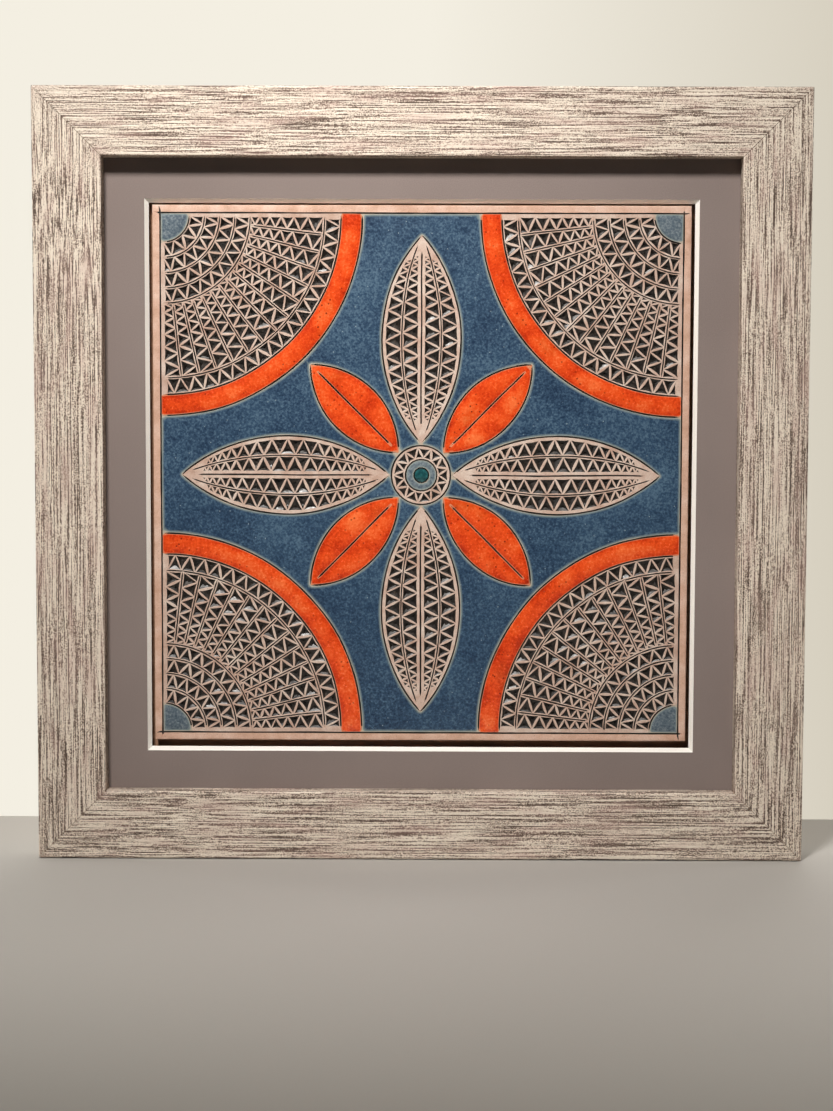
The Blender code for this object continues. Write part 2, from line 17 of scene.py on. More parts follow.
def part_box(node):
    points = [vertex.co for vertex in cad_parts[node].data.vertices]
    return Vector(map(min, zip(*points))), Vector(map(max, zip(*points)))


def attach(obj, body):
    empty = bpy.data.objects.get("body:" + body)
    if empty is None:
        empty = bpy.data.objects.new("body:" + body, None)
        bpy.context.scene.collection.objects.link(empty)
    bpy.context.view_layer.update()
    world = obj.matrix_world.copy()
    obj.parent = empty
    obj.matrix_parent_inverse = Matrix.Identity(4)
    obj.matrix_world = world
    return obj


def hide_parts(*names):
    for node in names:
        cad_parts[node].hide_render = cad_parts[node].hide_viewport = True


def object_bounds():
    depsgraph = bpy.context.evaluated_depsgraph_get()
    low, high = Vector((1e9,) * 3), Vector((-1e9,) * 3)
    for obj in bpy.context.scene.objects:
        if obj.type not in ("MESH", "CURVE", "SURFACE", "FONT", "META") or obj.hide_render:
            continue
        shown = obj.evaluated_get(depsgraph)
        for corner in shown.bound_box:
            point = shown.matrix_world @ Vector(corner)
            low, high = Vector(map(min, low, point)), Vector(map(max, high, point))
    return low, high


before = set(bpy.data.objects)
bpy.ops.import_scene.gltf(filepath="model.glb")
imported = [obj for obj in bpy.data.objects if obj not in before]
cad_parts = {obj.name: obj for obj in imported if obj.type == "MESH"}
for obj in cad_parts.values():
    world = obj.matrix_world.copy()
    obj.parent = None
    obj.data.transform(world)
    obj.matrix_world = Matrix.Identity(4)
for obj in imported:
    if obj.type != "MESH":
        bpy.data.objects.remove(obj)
cad_low, cad_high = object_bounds()
print("solids:", len(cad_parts), "box from", cad_low, "to", cad_high)

# %% [markdown]
# Everything that follows is placed from the solids. The tile sits a little above the middle of
# the frame, so each of the two has a middle of its own. The tile's face is found from its back,
# because the bead stands out in front of the face. A point of the pattern is given by how far it
# is to the right of the tile's middle and how far above it.

# %% Measure what the finish has to fit
TILE_THICKNESS = 0.012
TILE_RISE = 0.0015
CAD_TILE_LOW, CAD_TILE_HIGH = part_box("ceramic_tile")
TILE_HALF = (CAD_TILE_HIGH.x - CAD_TILE_LOW.x) / 2
TILE_FACE_Y = CAD_TILE_HIGH.y - TILE_THICKNESS
TILE_Z = (CAD_TILE_LOW.z + CAD_TILE_HIGH.z) / 2
CENTRE_Z = TILE_Z - TILE_RISE
RAIL_LOW, RAIL_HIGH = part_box("frame_rail_top")
FRAME_HALF = RAIL_HIGH.z - CENTRE_Z
FRAME_FRONT_Y = RAIL_LOW.y
FRAME_BACK_Y = RAIL_HIGH.y
SIGHT_HALF = RAIL_LOW.z - CENTRE_Z
MAT_FRONT_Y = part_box("mat_board")[0].y
FLOOR_Z = cad_low.z
print("half sizes:", [round(half, 4) for half in (TILE_HALF, SIGHT_HALF, FRAME_HALF)])

# %% [markdown]
# Hand work is never quite regular, so most pieces here need smooth random fields: for the wood's
# grain, for the waver of a carved line, for the sag of a glaze. A small table of random numbers,
# read between its cells with a smooth step, gives that for thousands of points at once, and a
# seed makes it the same on each run.

# %% Smooth noise
NOISE_TABLE_SIZE = 257


def ease(value, low, high):
    """0 below low, 1 above high, and a smooth rise between."""
    share = np.clip((np.asarray(value, float) - low) / (high - low), 0, 1)
    return share * share * (3 - 2 * share)


def smooth_noise(x, y, cell_x, cell_y, seed):
    """Noise from -1 to 1 whose bumps are about one cell wide each way."""
    table = np.random.default_rng(seed).uniform(-1, 1, (NOISE_TABLE_SIZE, NOISE_TABLE_SIZE))
    across, up = np.asarray(x, float) / cell_x, np.asarray(y, float) / cell_y
    column, row = np.floor(across).astype(int), np.floor(up).astype(int)
    share_x, share_y = ease(across - column, 0, 1), ease(up - row, 0, 1)
    x0, x1 = column % NOISE_TABLE_SIZE, (column + 1) % NOISE_TABLE_SIZE
    y0, y1 = row % NOISE_TABLE_SIZE, (row + 1) % NOISE_TABLE_SIZE
    low = table[y0, x0] * (1 - share_x) + table[y0, x1] * share_x
    high = table[y1, x0] * (1 - share_x) + table[y1, x1] * share_x
    return low * (1 - share_y) + high * share_y


# %% [markdown]
# A finish is a small network of shader nodes, and so is the light of the room. These helpers keep
# each recipe short: one adds a node and sets its inputs by name, one reads a value that the mesh
# carries, and one turns a value into colours by a ramp. Colours are written as the eye reads them
# on a screen and converted once, so that they can be compared with the photograph.

# %% Helpers for a network of nodes
def seen(red, green, blue):
    """A colour as read from a screen, 0 to 255, as the linear light that a shader wants."""
    linear = []
    for channel in (red, green, blue):
        share = channel / 255
        linear.append(share / 12.92 if share <= 0.04045 else ((share + 0.055) / 1.055) ** 2.4)
    return (*linear, 1.0)


class Recipe:
    """A network of nodes, built up by short calls. A source is a socket, a number or a colour."""

    def __init__(self, tree):
        self.tree = tree

    def join(self, source, socket):
        if isinstance(source, (int, float, tuple)):
            socket.default_value = source
        else:
            self.tree.links.new(source, socket)

    def node(self, kind, **sources):
        """Add a node, and set its properties or feed its inputs by name."""
        made = self.tree.nodes.new("ShaderNode" + kind)
        for key, source in sources.items():
            if hasattr(made, key):
                setattr(made, key, source)
            else:
                self.join(source, made.inputs[key.replace("_", " ")])
        return made

    def ramp(self, value, *stops):
        """Colours along a value. Each stop is a place, then the colour seen there."""
        made = self.node("ValToRGB", Fac=value)
        elements = made.color_ramp.elements
        elements.remove(elements[1])
        elements[0].position = stops[0][0]
        elements[0].color = seen(*stops[0][1:])
        for place, *colour in stops[1:]:
            elements.new(place).color = seen(*colour)
        return made.outputs["Color"]

    def level(self, value, low, high, out_low=0.0, out_high=1.0):
        """A value moved from one range to another, and held inside it."""
        made = self.node("MapRange", Value=value)
        for socket, number in zip(made.inputs[1:5], (low, high, out_low, out_high)):
            socket.default_value = number
        return made.outputs["Result"]

    def math(self, operation, first, second=0.0):
        made = self.node("Math", operation=operation)
        self.join(first, made.inputs[0])
        self.join(second, made.inputs[1])
        return made.outputs["Value"]

    def add(self, total, *others):
        for other in others:
            total = self.math("ADD", total, other)
        return total

    def mix(self, share, first, second, blend="MIX"):
        """Two colours mixed by a share."""
        made = self.node("Mix", data_type="RGBA", blend_type=blend)
        for index, source in zip((0, 6, 7), (share, first, second)):
            self.join(source, made.inputs[index])
        return made.outputs[2]


# %% [markdown]
# Node noise hardly ever leaves the range from 0.3 to 0.7. One helper stretches that range over the
# one that a recipe wants, such as how rough a glaze is from place to place. Another lays a second
# colour over the first where a value is low, as specks, pits and bare edges need. A plain finish
# takes its colours, and if asked its gloss and its relief, from a single noise.

# %% Helpers for finishes
NOISE_RANGE = (0.3, 0.7)


class Finish(Recipe):
    """A material with one Principled shader."""

    def __init__(self, name, **settings):
        self.material = bpy.data.materials.new(name)
        self.material.use_nodes = True
        super().__init__(self.material.node_tree)
        self.shader = self.tree.nodes["Principled BSDF"]
        self.feed(**settings)

    def carried(self, name, output="Fac"):
        """A number, or with the output Vector a direction, that each point of the mesh carries."""
        return self.node("Attribute", attribute_name=name).outputs[output]

    def place(self, scale=(1, 1, 1), carried=None):
        """Where a point is: in the object's own space, or in directions that the mesh carries."""
        source = self.carried(carried, "Vector") if carried else self.node("TexCoord").outputs["Object"]
        return self.node("Mapping", Vector=source, Scale=scale).outputs["Vector"]

    def noise(self, scale, detail=3.0, roughness=0.6, carried=None):
        """Smooth noise. Its scale is one number, or three for noise that is drawn out."""
        stretch, scale = (scale, 1.0) if isinstance(scale, tuple) else ((1, 1, 1), scale)
        place = self.place(stretch, carried)
        made = self.node("TexNoise", Vector=place, Scale=scale, Detail=detail, Roughness=roughness)
        return made.outputs["Fac"]

    def spots(self, scale, feature="F1"):
        """Distance from the nearest of many scattered points."""
        made = self.node("TexVoronoi", Vector=self.place(), feature=feature, Scale=scale)
        return made.outputs["Distance"]

    def spread(self, noise, low, high):
        return self.level(noise, *NOISE_RANGE, low, high)

    def tint(self, colour, value, low, high, share, other):
        """Another colour over the first: its share where the value is low, and none where high."""
        return self.mix(self.level(value, low, high, share, 0.0), colour, seen(*other))

    def bump(self, height, strength, distance, **under):
        made = self.node("Bump", Height=height, Strength=strength, Distance=distance, **under)
        return made.outputs["Normal"]

    def feed(self, **sources):
        """Set or feed the shader's inputs, and return the finished material."""
        for key, source in sources.items():
            self.join(source, self.shader.inputs[key.replace("_", " ")])
        return self.material


def plain_finish(name, colours, scale, detail=3.0, grit=0.6, rough=None, relief=None, carried=None, **rest):
    made = Finish(name, **rest)
    noise = made.noise(scale, detail, grit, carried)
    sources = {"Base_Color": made.ramp(noise, *colours)}
    if rough:
        sources["Roughness"] = made.spread(noise, *rough)
    if relief:
        sources["Normal"] = made.bump(noise, *relief)
    return made.feed(**sources)


# %% [markdown]
# A finer piece takes the place of its solid: it hangs on the same body and says which solid it stands for.

# %% Helpers for shapes
def smooth_by_angle(mesh, degrees):
    """Shade a mesh smooth, but for the edges that are sharper than the angle."""
    mesh.shade_smooth()
    mesh.set_sharp_from_angle(angle=math.radians(degrees))


def point_values(mesh, name, values):
    """Give each point of a mesh a number, or three."""
    values = np.asarray(values, np.float32)
    kind, key = ("FLOAT", "value") if values.ndim == 1 else ("FLOAT_VECTOR", "vector")
    made = mesh.attributes.new(name, kind, "POINT")
    made.data.foreach_set(key, values.ravel())


def put(name, data):
    """A new object in the scene, for a mesh, a lamp or a camera."""
    made = bpy.data.objects.new(name, data)
    bpy.context.scene.collection.objects.link(made)
    return made


def show(name, mesh, slot, *nodes):
    """Put a finished mesh in the picture in the place of its solids."""
    made = put(name, mesh)
    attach(made, "root")
    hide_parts(*nodes)
    print(name, "stands for", nodes, "with", len(mesh.polygons), "faces")


# %% [markdown]
# The camera stands where the photographer stood. The frame's four corners in the photograph give
# its place and its slight downward tilt. How much of the lip's depth shows at the top and at the
# bottom gives how far off it was: about a metre and a half, with a lens of moderate length.

# %% Camera
PHOTO_HEIGHT_PX = 1111
FOCAL_LENGTH_PX = 2011
SENSOR_MM = 36.0
CAMERA_RIGHT = 0.0052
CAMERA_DISTANCE = 1.521
CAMERA_ABOVE_CENTRE = 0.0525
CAMERA_TILT_DOWN = math.radians(4.186)
CAMERA_TURN = math.radians(-0.314)
CAMERA_ROLL = math.radians(0.179)

camera_data = bpy.data.cameras.new("camera")
camera_data.sensor_width = SENSOR_MM
camera_data.lens = FOCAL_LENGTH_PX / PHOTO_HEIGHT_PX * SENSOR_MM
camera = put("camera", camera_data)
bpy.context.scene.camera = camera
camera.matrix_world = (
    Matrix.Translation((CAMERA_RIGHT, FRAME_FRONT_Y - CAMERA_DISTANCE, CENTRE_Z + CAMERA_ABOVE_CENTRE))
    @ Matrix.Rotation(-CAMERA_TURN, 4, "Z")
    @ Matrix.Rotation(math.pi / 2 - CAMERA_TILT_DOWN, 4, "X")
    @ Matrix.Rotation(CAMERA_ROLL, 4, "Z"))
print("lens", round(camera_data.lens, 1), "mm")

# %% [markdown]
# The stage is plain: a shelf under the frame's lower edge and a pale room behind. The part of the
# room in front of the picture gives little light, because a bright one would wash out the shadow
# under the top of the frame. The camera still sees the room as pale on every side.

# %% Shelf and room
SHELF_SIDE = 2.4
SHELF_BEHIND_WALL = 0.12
SHELF_GAP = 0.0005
ROOM_BEHIND = (244, 239, 226)
ROOM_IN_FRONT = (42, 42, 44)
ROOM_FAR_SIDE = (206, 201, 192)
WHITE = (255, 255, 255)

shelf_mesh = bpy.data.meshes.new("shelf")
shelf_builder = bmesh.new()
bmesh.ops.create_grid(shelf_builder, x_segments=1, y_segments=1, size=SHELF_SIDE / 2)
shelf_builder.to_mesh(shelf_mesh)
shelf_builder.free()
shelf_mesh.materials.append(Finish("pale_shelf", Base_Color=seen(178, 175, 170), Roughness=0.7).material)
shelf = put("shelf", shelf_mesh)
shelf.location = (0, SHELF_BEHIND_WALL - SHELF_SIDE / 2, FLOOR_Z - SHELF_GAP)

bpy.context.scene.view_settings.view_transform = "Standard"
world = bpy.data.worlds.new("room")
bpy.context.scene.world = world
world.use_nodes = True
room = Recipe(world.node_tree)
towards = room.node("SeparateXYZ", Vector=room.node("TexCoord").outputs["Generated"]).outputs
from_front = room.ramp(towards["Y"], (0.0, *ROOM_IN_FRONT), (0.55, *ROOM_BEHIND))
to_far_side = room.ramp(towards["X"], (0.0, *WHITE), (0.3, *ROOM_FAR_SIDE))
in_view = room.node("LightPath").outputs["Is Camera Ray"]
backdrop = room.mix(in_view, from_front, seen(*ROOM_BEHIND))
backdrop = room.mix(1.0, backdrop, to_far_side, "MULTIPLY")
room.join(backdrop, room.tree.nodes["Background"].inputs["Color"])
print("shelf at", round(shelf.location.z, 4), "and a room of", len(room.tree.nodes), "nodes")

# %% [markdown]
# The shadow under the top of the frame tells where the light was: it falls 11 mm down the mat from
# a lip that stands 14 mm proud, so the lamp stood about as high above the picture as it was in
# front of it. The picture is twice as bright at the top as at the bottom, so it was near. A weak
# lamp opens the shadows a little. Three more stand behind the picture's face, for its back and its
# two sides, so they change nothing that is seen from the front.

# %% Lamps
WARM = (1.0, 0.965, 0.925)
COOL = (0.92, 0.96, 1.0)
MIDDLE = (0, 0, 0)


def lamp(name, place, aim, size, watts, colour=WARM, spread=180):
    """A square soft lamp, its place and aim given from the middle of the picture."""
    data = bpy.data.lights.new(name, "AREA")
    data.shape = "SQUARE"
    data.size = size
    data.energy = watts
    data.color = colour
    data.spread = math.radians(spread)
    made = put(name, data)
    made.location = Vector((0, FRAME_FRONT_Y, CENTRE_Z)) + Vector(place)
    made.rotation_euler = (Vector(aim) - Vector(place)).to_track_quat("-Z", "Y").to_euler()
    made.visible_camera = False


lamp("key_lamp", (-0.34, -1.14, 1.30), (-0.03, 0, 0.15), size=0.28, watts=4.2, spread=56)
lamp("fill_lamp", (1.5, -1.9, 0.2), MIDDLE, size=1.6, watts=0.4, colour=COOL)
lamp("back_lamp", (0.6, 2.2, 1.5), MIDDLE, size=1.6, watts=16)
for name, side in (("left_lamp", -1), ("right_lamp", 1)):
    lamp(name, (1.9 * side, 0.6, 0.35), (0.29 * side, 0, 0.05), size=0.7, watts=0.85, spread=30)

# %% [markdown]
# The moulding is the kind that is brushed hard along its grain, so that the soft wood wears down
# and the hard lines stand up, and then painted cream over taupe. The lines of one length meet
# those of the next at the mitre, because both were cut from the same moulding. The pattern is made
# of coarse and fine worn lines, a few knots that push the lines aside, and patches where the
# brush scraped the face. All of it is measured from the mitre and from the outer edge.

# %% The brushed grain
KNOTS_PER_HALF = 3
KNOT_ALONG = (0.05, 0.29)
KNOT_ACROSS = (0.006, 0.047)
KNOT_PUSH = 0.0011
KNOT_EYE = 0.0012
MITRE_HOLD = 0.08
SWAY = 0.0016
WAVER = 0.0006
UNEVEN_SPACING = 0.7
PRESSED_LINE_AT = 0.0052
PRESSED_LINE_WIDTH = 0.0004


def mound(far, off, length, width):
    return np.exp(-(far / length) ** 2 - (off / width) ** 2)


def knots(along, across, seed):
    """How far each knot pushes the lines aside, and how dark its heart is."""
    draw = np.random.default_rng(seed)
    push = np.zeros_like(across, float)
    heart = np.zeros_like(across, float)
    for _ in range(KNOTS_PER_HALF):
        far = along - draw.uniform(*KNOT_ALONG)
        off = across - draw.uniform(*KNOT_ACROSS)
        push += KNOT_PUSH * np.tanh(off / KNOT_EYE) * mound(far, off, 0.010, 0.0045)
        heart += mound(far, off, 0.0034, KNOT_EYE)
    return push, heart


def worn_lines(along, line, free, seed, spacing_seed, pitch, spacing_cell, break_cells, broken, width):
    """1 along each line that the brush wore down, and 0 on the hard wood between."""
    uneven = smooth_noise(line, 0 * line, spacing_cell, 1, spacing_seed)
    breaks = smooth_noise(along, line, *break_cells, seed) * free
    phase = line / pitch + UNEVEN_SPACING * uneven + broken * breaks
    return np.exp(-((phase - np.floor(phase) - 0.5) / width) ** 2)


def grain_height(along, across, seed, corner_seed):
    """How high the wood stands, 0 to 1, at a distance from the mitre and from the outer edge."""
    from_mitre = along - across
    free = ease(from_mitre, 0.0, MITRE_HOLD)
    push, heart = knots(along, across, seed + 9)
    sway = smooth_noise(along, across, 0.060, 0.018, seed) * SWAY
    waver = smooth_noise(along, across, 0.014, 0.005, seed + 1) * WAVER
    line = across + free * (sway - push + waver)
    coarse = worn_lines(
        along, line, free, seed + 2, spacing_seed=11, pitch=0.0029, spacing_cell=0.0034,
        break_cells=(0.016, 0.0022), broken=0.3, width=0.17)
    coarse *= 0.42 + 0.6 * smooth_noise(from_mitre, line, 0.022, 0.0020, corner_seed)
    fine = worn_lines(
        along, line, free, seed + 3, spacing_seed=12, pitch=0.0016, spacing_cell=0.0021,
        break_cells=(0.008, 0.0013), broken=0.5, width=0.24)
    fine *= 0.40 + 0.6 * smooth_noise(along, line, 0.007, 0.0014, seed + 4)
    short = smooth_noise(along, line, 0.004, 0.0008, seed + 5)
    long = smooth_noise(along, line, 0.024, 0.0010, seed + 6)
    scraped = ease(smooth_noise(along, across, 0.020, 0.013, seed + 7), 0.5, 0.85)
    height = 0.86 - 0.75 * coarse - 0.62 * fine + 0.2 * short + 0.14 * long
    height += scraped * 0.3 * smooth_noise(along, across, 0.0026, 0.0014, seed + 8)
    height -= 0.4 * np.exp(-((line - PRESSED_LINE_AT) / PRESSED_LINE_WIDTH) ** 2)
    height -= heart * (0.45 + 0.5 * short)
    return np.clip(height, 0, 1)


# %% [markdown]
# The painted finish follows the height of the grain: cream where the wood stands up, taupe
# where it was worn down, with a few pinkish stains. Fine streaks are drawn along the grain in
# the directions that the mesh carries, so they run the right way on all four rails. Near a mitre
# both rails carry the same directions, and the streaks turn the corner as the lines do.

# %% Painted wood
def brushed_wood():
    paint = Finish("brushed_painted_wood", Roughness=0.62, Specular_IOR_Level=0.35)
    streaks = paint.noise((17, 1200, 1000), 1.0, 0.4, "grain")
    dashes = paint.noise((260, 1400, 900), 1.0, 0.5, "grain")
    flecks = paint.noise((1000, 1200, 900), 0.0, 0.5, "grain")
    stains = paint.noise((24, 110, 9), 3.0, 0.55, "grain")
    height = paint.add(
        paint.math("MULTIPLY", paint.carried("ridge"), 0.52), 0.27,
        paint.spread(streaks, -0.76, 0.76),
        paint.spread(dashes, -0.28, 0.28),
        paint.spread(flecks, -0.38, 0.38))
    colour = paint.ramp(
        height, (0.0, 94, 79, 69), (0.3, 148, 130, 117), (0.55, 202, 184, 168), (0.8, 226, 210, 193),
        (1.0, 237, 225, 208))
    colour = paint.mix(paint.level(stains, 0.5, 0.72, 0.0, 0.38), colour, seen(196, 162, 152))
    rough = paint.level(height, 0.0, 1.0, 0.8, 0.5)
    return paint.feed(Base_Color=colour, Roughness=rough, Normal=paint.bump(height, 0.3, 0.0002))


PAINTED_WOOD = brushed_wood()
RAW_WOOD = plain_finish(
    "raw_moulding_back", ((0.3, 150, 112, 78), (0.7, 196, 160, 118)), (25, 420, 420), 4.0,
    relief=(0.3, 0.0004), carried="grain", Roughness=0.75)
print("finishes:", PAINTED_WOOD.name, RAW_WOOD.name)

# %% [markdown]
# Bump alone would leave the moulding's edges dead straight, so each rail is a real mesh. Its
# section is a walk round the moulding, with both front edges eased, as sandpaper leaves them. On
# the flat front its points lie close enough together to follow the worn lines.

# %% Section of the moulding
GRAIN_STEP = 0.0004
OUTER_EASE = 0.0015
SIGHT_EASE = 0.0012
EASE_STEPS = 4
RAIL_WIDTH = FRAME_HALF - SIGHT_HALF
REBATE_WIDTH = 0.006
LIP_BACK_Y = MAT_FRONT_Y - 0.0003
RAW_SIDES = 3


def eased_edge(radius):
    """Points round a quarter circle, each as how far it is from the two faces that it joins."""
    angles = [math.radians(90) * step / EASE_STEPS for step in range(EASE_STEPS + 1)]
    return [(radius * (1 - math.cos(angle)), radius * (1 - math.sin(angle))) for angle in angles]


def rail_section():
    """The moulding's section: distance from the outer edge and depth, walked round once."""
    section = [(0.0, FRAME_BACK_Y), (0.0, (FRAME_BACK_Y + FRAME_FRONT_Y) / 2)]
    section += [(side, FRAME_FRONT_Y + front) for side, front in eased_edge(OUTER_EASE)]
    flat = RAIL_WIDTH - OUTER_EASE - SIGHT_EASE
    steps = round(flat / GRAIN_STEP)
    section += [(OUTER_EASE + flat * i / steps, FRAME_FRONT_Y) for i in range(1, steps)]
    section += [(RAIL_WIDTH - side, FRAME_FRONT_Y + front) for front, side in eased_edge(SIGHT_EASE)]
    section += [
        (RAIL_WIDTH, (FRAME_FRONT_Y + LIP_BACK_Y) / 2), (RAIL_WIDTH, LIP_BACK_Y),
        (RAIL_WIDTH - REBATE_WIDTH, LIP_BACK_Y), (RAIL_WIDTH - REBATE_WIDTH, FRAME_BACK_Y)]
    return np.array(section)


SECTION = rail_section()
print("points round the moulding:", len(SECTION))

# %% [markdown]
# The section is swept from mitre to mitre. Each point of it stops short by its own distance from
# the outer edge, which makes the slanted ends. The front is pushed down between the hard lines.
# The four rails are one shape turned by quarters, each with its own grain but for the corners,
# where it shares the seeds of its neighbour.

# %% Four rails
RAIL_TURNS = (("top", 0), ("right", 1), ("bottom", 2), ("left", 3))
LENGTH_STEPS = 300
GRAIN_DEPTH = 0.0004
MITRE_ROOM = 0.0003 / math.sqrt(2)
RAIL_SEED = 100
CORNER_SEED = 60
MIDDLE_OFFSET = 0.4
MIDDLE_JOIN = 0.05
CORNER_DRIFT = (0.0, 0.003, 0.006, 0.0045)
RAIL_DRIFT = 0.002
DRIFT_ALONG = 0.012
SIDE_RIDGE = 0.55


def rail_grain(x, across, turn):
    """The grain of one rail: each half is drawn from its own mitre, and they blend in the middle."""
    along = FRAME_HALF - np.abs(x)
    seed = RAIL_SEED + 20 * turn
    left, right = CORNER_SEED + turn, CORNER_SEED + (turn + 1) % 4
    ends = np.where(
        x < 0, grain_height(along, across, seed, left), grain_height(along, across, seed + 10, right))
    middle = grain_height(x + MIDDLE_OFFSET, across, seed + 5, left)
    share = ease(np.abs(x), 0.0, MIDDLE_JOIN)
    return ends * share + middle * (1 - share)


def streak_drift(x, from_mitre, turn):
    """How far the streaks are moved, so that no two lengths of them look alike."""
    left, right = CORNER_DRIFT[turn], CORNER_DRIFT[(turn + 1) % 4]
    share = ease(from_mitre, 0.02, 0.16)
    away = (left + right) / 2 + RAIL_DRIFT + DRIFT_ALONG * x
    return np.where(x < 0, left, right) * (1 - share) + away * share


def rail_mesh(name, turn):
    """One mitred rail, built as the top one and turned into place."""
    depth = SECTION[:, 1]
    x = np.linspace(-1, 1, LENGTH_STEPS + 1)[:, None] * (FRAME_HALF - SECTION[:, 0] - MITRE_ROOM)
    rows, columns = x.shape
    across = np.broadcast_to(SECTION[:, 0], x.shape)
    ridge = rail_grain(x, across, turn)
    on_front = np.broadcast_to(depth <= FRAME_FRONT_Y + OUTER_EASE + 1e-6, x.shape)
    y = depth + np.where(on_front, (1 - ridge) * GRAIN_DEPTH, 0.0)
    z = FRAME_HALF - across
    angle = -math.pi / 2 * turn
    turned_x = x * math.cos(angle) - z * math.sin(angle)
    turned_z = x * math.sin(angle) + z * math.cos(angle)
    points = np.stack((turned_x, y, CENTRE_Z + turned_z), axis=-1).reshape(-1, 3)

    number = np.arange(rows * columns).reshape(rows, columns)
    after = np.roll(number, -1, axis=1)
    quads = np.stack((number[:-1], after[:-1], after[1:], number[1:]), axis=-1).reshape(-1, 4)
    ends = [number[0, ::-1].tolist(), number[-1].tolist()]
    raw = np.zeros((rows - 1, columns), int)
    raw[:, -RAW_SIDES:] = 1
    mesh = bpy.data.meshes.new(name)
    mesh.from_pydata(points.tolist(), [], quads.tolist() + ends)
    mesh.materials.append(PAINTED_WOOD)
    mesh.materials.append(RAW_WOOD)
    mesh.polygons.foreach_set("material_index", [*raw.ravel().tolist(), 1, 1])

    along = FRAME_HALF - np.abs(x)
    carried = np.stack((along, across, depth + streak_drift(x, along - across, turn)), axis=-1)
    point_values(mesh, "ridge", np.where(on_front, ridge, SIDE_RIDGE).ravel())
    point_values(mesh, "grain", carried.reshape(-1, 3))
    smooth_by_angle(mesh, 50)
    mesh.validate()
    return mesh


for side, turn in RAIL_TURNS:
    show("moulding_" + side, rail_mesh("moulding_" + side, turn), "moulding", "frame_rail_" + side)

# %% [markdown]
# The pattern is drawn first as plain geometry. It is a rosette of a kind that folk carvers have
# always cut: fans in the four corners, each with a glazed ring, and a flower of eight petals in
# the middle. Its carved fields are bands of wolf-tooth chips: two rows of triangles that point
# at each other and leave a zigzag of clay standing between them.

# %% Sizes of the pattern
CLAY_BORDER = 0.0065
FIELD_HALF = TILE_HALF - CLAY_BORDER
FAN_INSET = 0.0016
FAN_CENTRE = FIELD_HALF - FAN_INSET
FAN_RADIUS = 0.135
RING_WIDTH = 0.016
FAN_DISC_RADIUS = 0.020
FAN_RIB_START = 0.066
FAN_RIM_BAND = 0.0125
FAN_RIB_END = FAN_RADIUS - FAN_RIM_BAND
FAN_ROUND_BANDS = 4
FAN_RIBS = 14
MEDALLION_RADIUS = 0.0225
MEDALLION_DISC_RADIUS = 0.012
BEAD_RADIUS = 0.005
BEAD_SEAT_RADIUS = BEAD_RADIUS + 0.0007
BEAD_HEIGHT = 0.0009
PETAL_START = MEDALLION_RADIUS + 0.0015
CARVED_PETAL_END = FIELD_HALF - 0.0155
CARVED_PETAL_HALF_WIDTH = 0.0300
CARVED_PETAL_BANDS = 2
GLAZED_PETAL_END = FAN_CENTRE * math.sqrt(2) - FAN_RADIUS - RING_WIDTH - 0.007
GLAZED_PETAL_HALF_WIDTH = 0.0200
PETAL_TIP_GAP = 0.0004
TIP_LAND = 0.0016
BAND_LAND = 0.00062
CHIPS_REACH = 0.93
VEIN_REACH = 0.86
OUTLINE_HALF_WIDTH = 0.0006
BAND_LINE_HALF_WIDTH = 0.0005
print("field", round(FIELD_HALF * 2000, 1), "mm, petals to", round(CARVED_PETAL_END * 1000, 1), "mm")


def polar(radius, degrees):
    angle = math.radians(degrees)
    return Vector((radius * math.cos(angle), radius * math.sin(angle)))


def lens_half_width(along, half_length, half_width):
    """Half the width of a pointed petal whose two sides are arcs."""
    arc_radius = (half_length ** 2 + half_width ** 2) / (2 * half_width)
    return np.sqrt(np.maximum(arc_radius ** 2 - along ** 2, 0)) - (arc_radius - half_width)


def quarter_turn(quarter, extra=0):
    return Matrix.Rotation(math.radians(90 * quarter + extra), 2)


# %% [markdown]
# A chip is a triangle with a low point under it. Its sides bow inward, because the blade enters at
# one corner, sinks and comes out at the next, so the land left between two chips is thin at its
# ends and broad in its middle. Each chip is drawn a little smaller than its cell, and its depth
# grows with the circle that fits into it, as it does for a blade held at one slant.

# %% One chip
CORNER_INSET = 0.00028
LEG_BOW = (0.00015, 0.00085)
BASE_BOW = (0.00015, 0.00055)
LARGEST_BOW = 0.22
SIDE_PARTS = 4
CHIP_DEPTH = 0.0024
SMALLEST_CHIP = 0.00075
HAND_JITTER = 0.00016
rng = np.random.default_rng(7)
chips = []


def bowed_outline(corners, bows):
    """The outline of a chip, its corners and the points between them along the bowed sides."""
    middle = (corners[0] + corners[1] + corners[2]) / 3
    outline = []
    for i, bow in enumerate(bows):
        first, second = corners[i], corners[(i + 1) % 3]
        along = second - first
        inward = Vector((-along.y, along.x)).normalized()
        if inward.dot(middle - first) < 0:
            inward = -inward
        for part in range(SIDE_PARTS):
            share = part / SIDE_PARTS
            outline.append(first + along * share + inward * bow * 4 * share * (1 - share))
    return outline


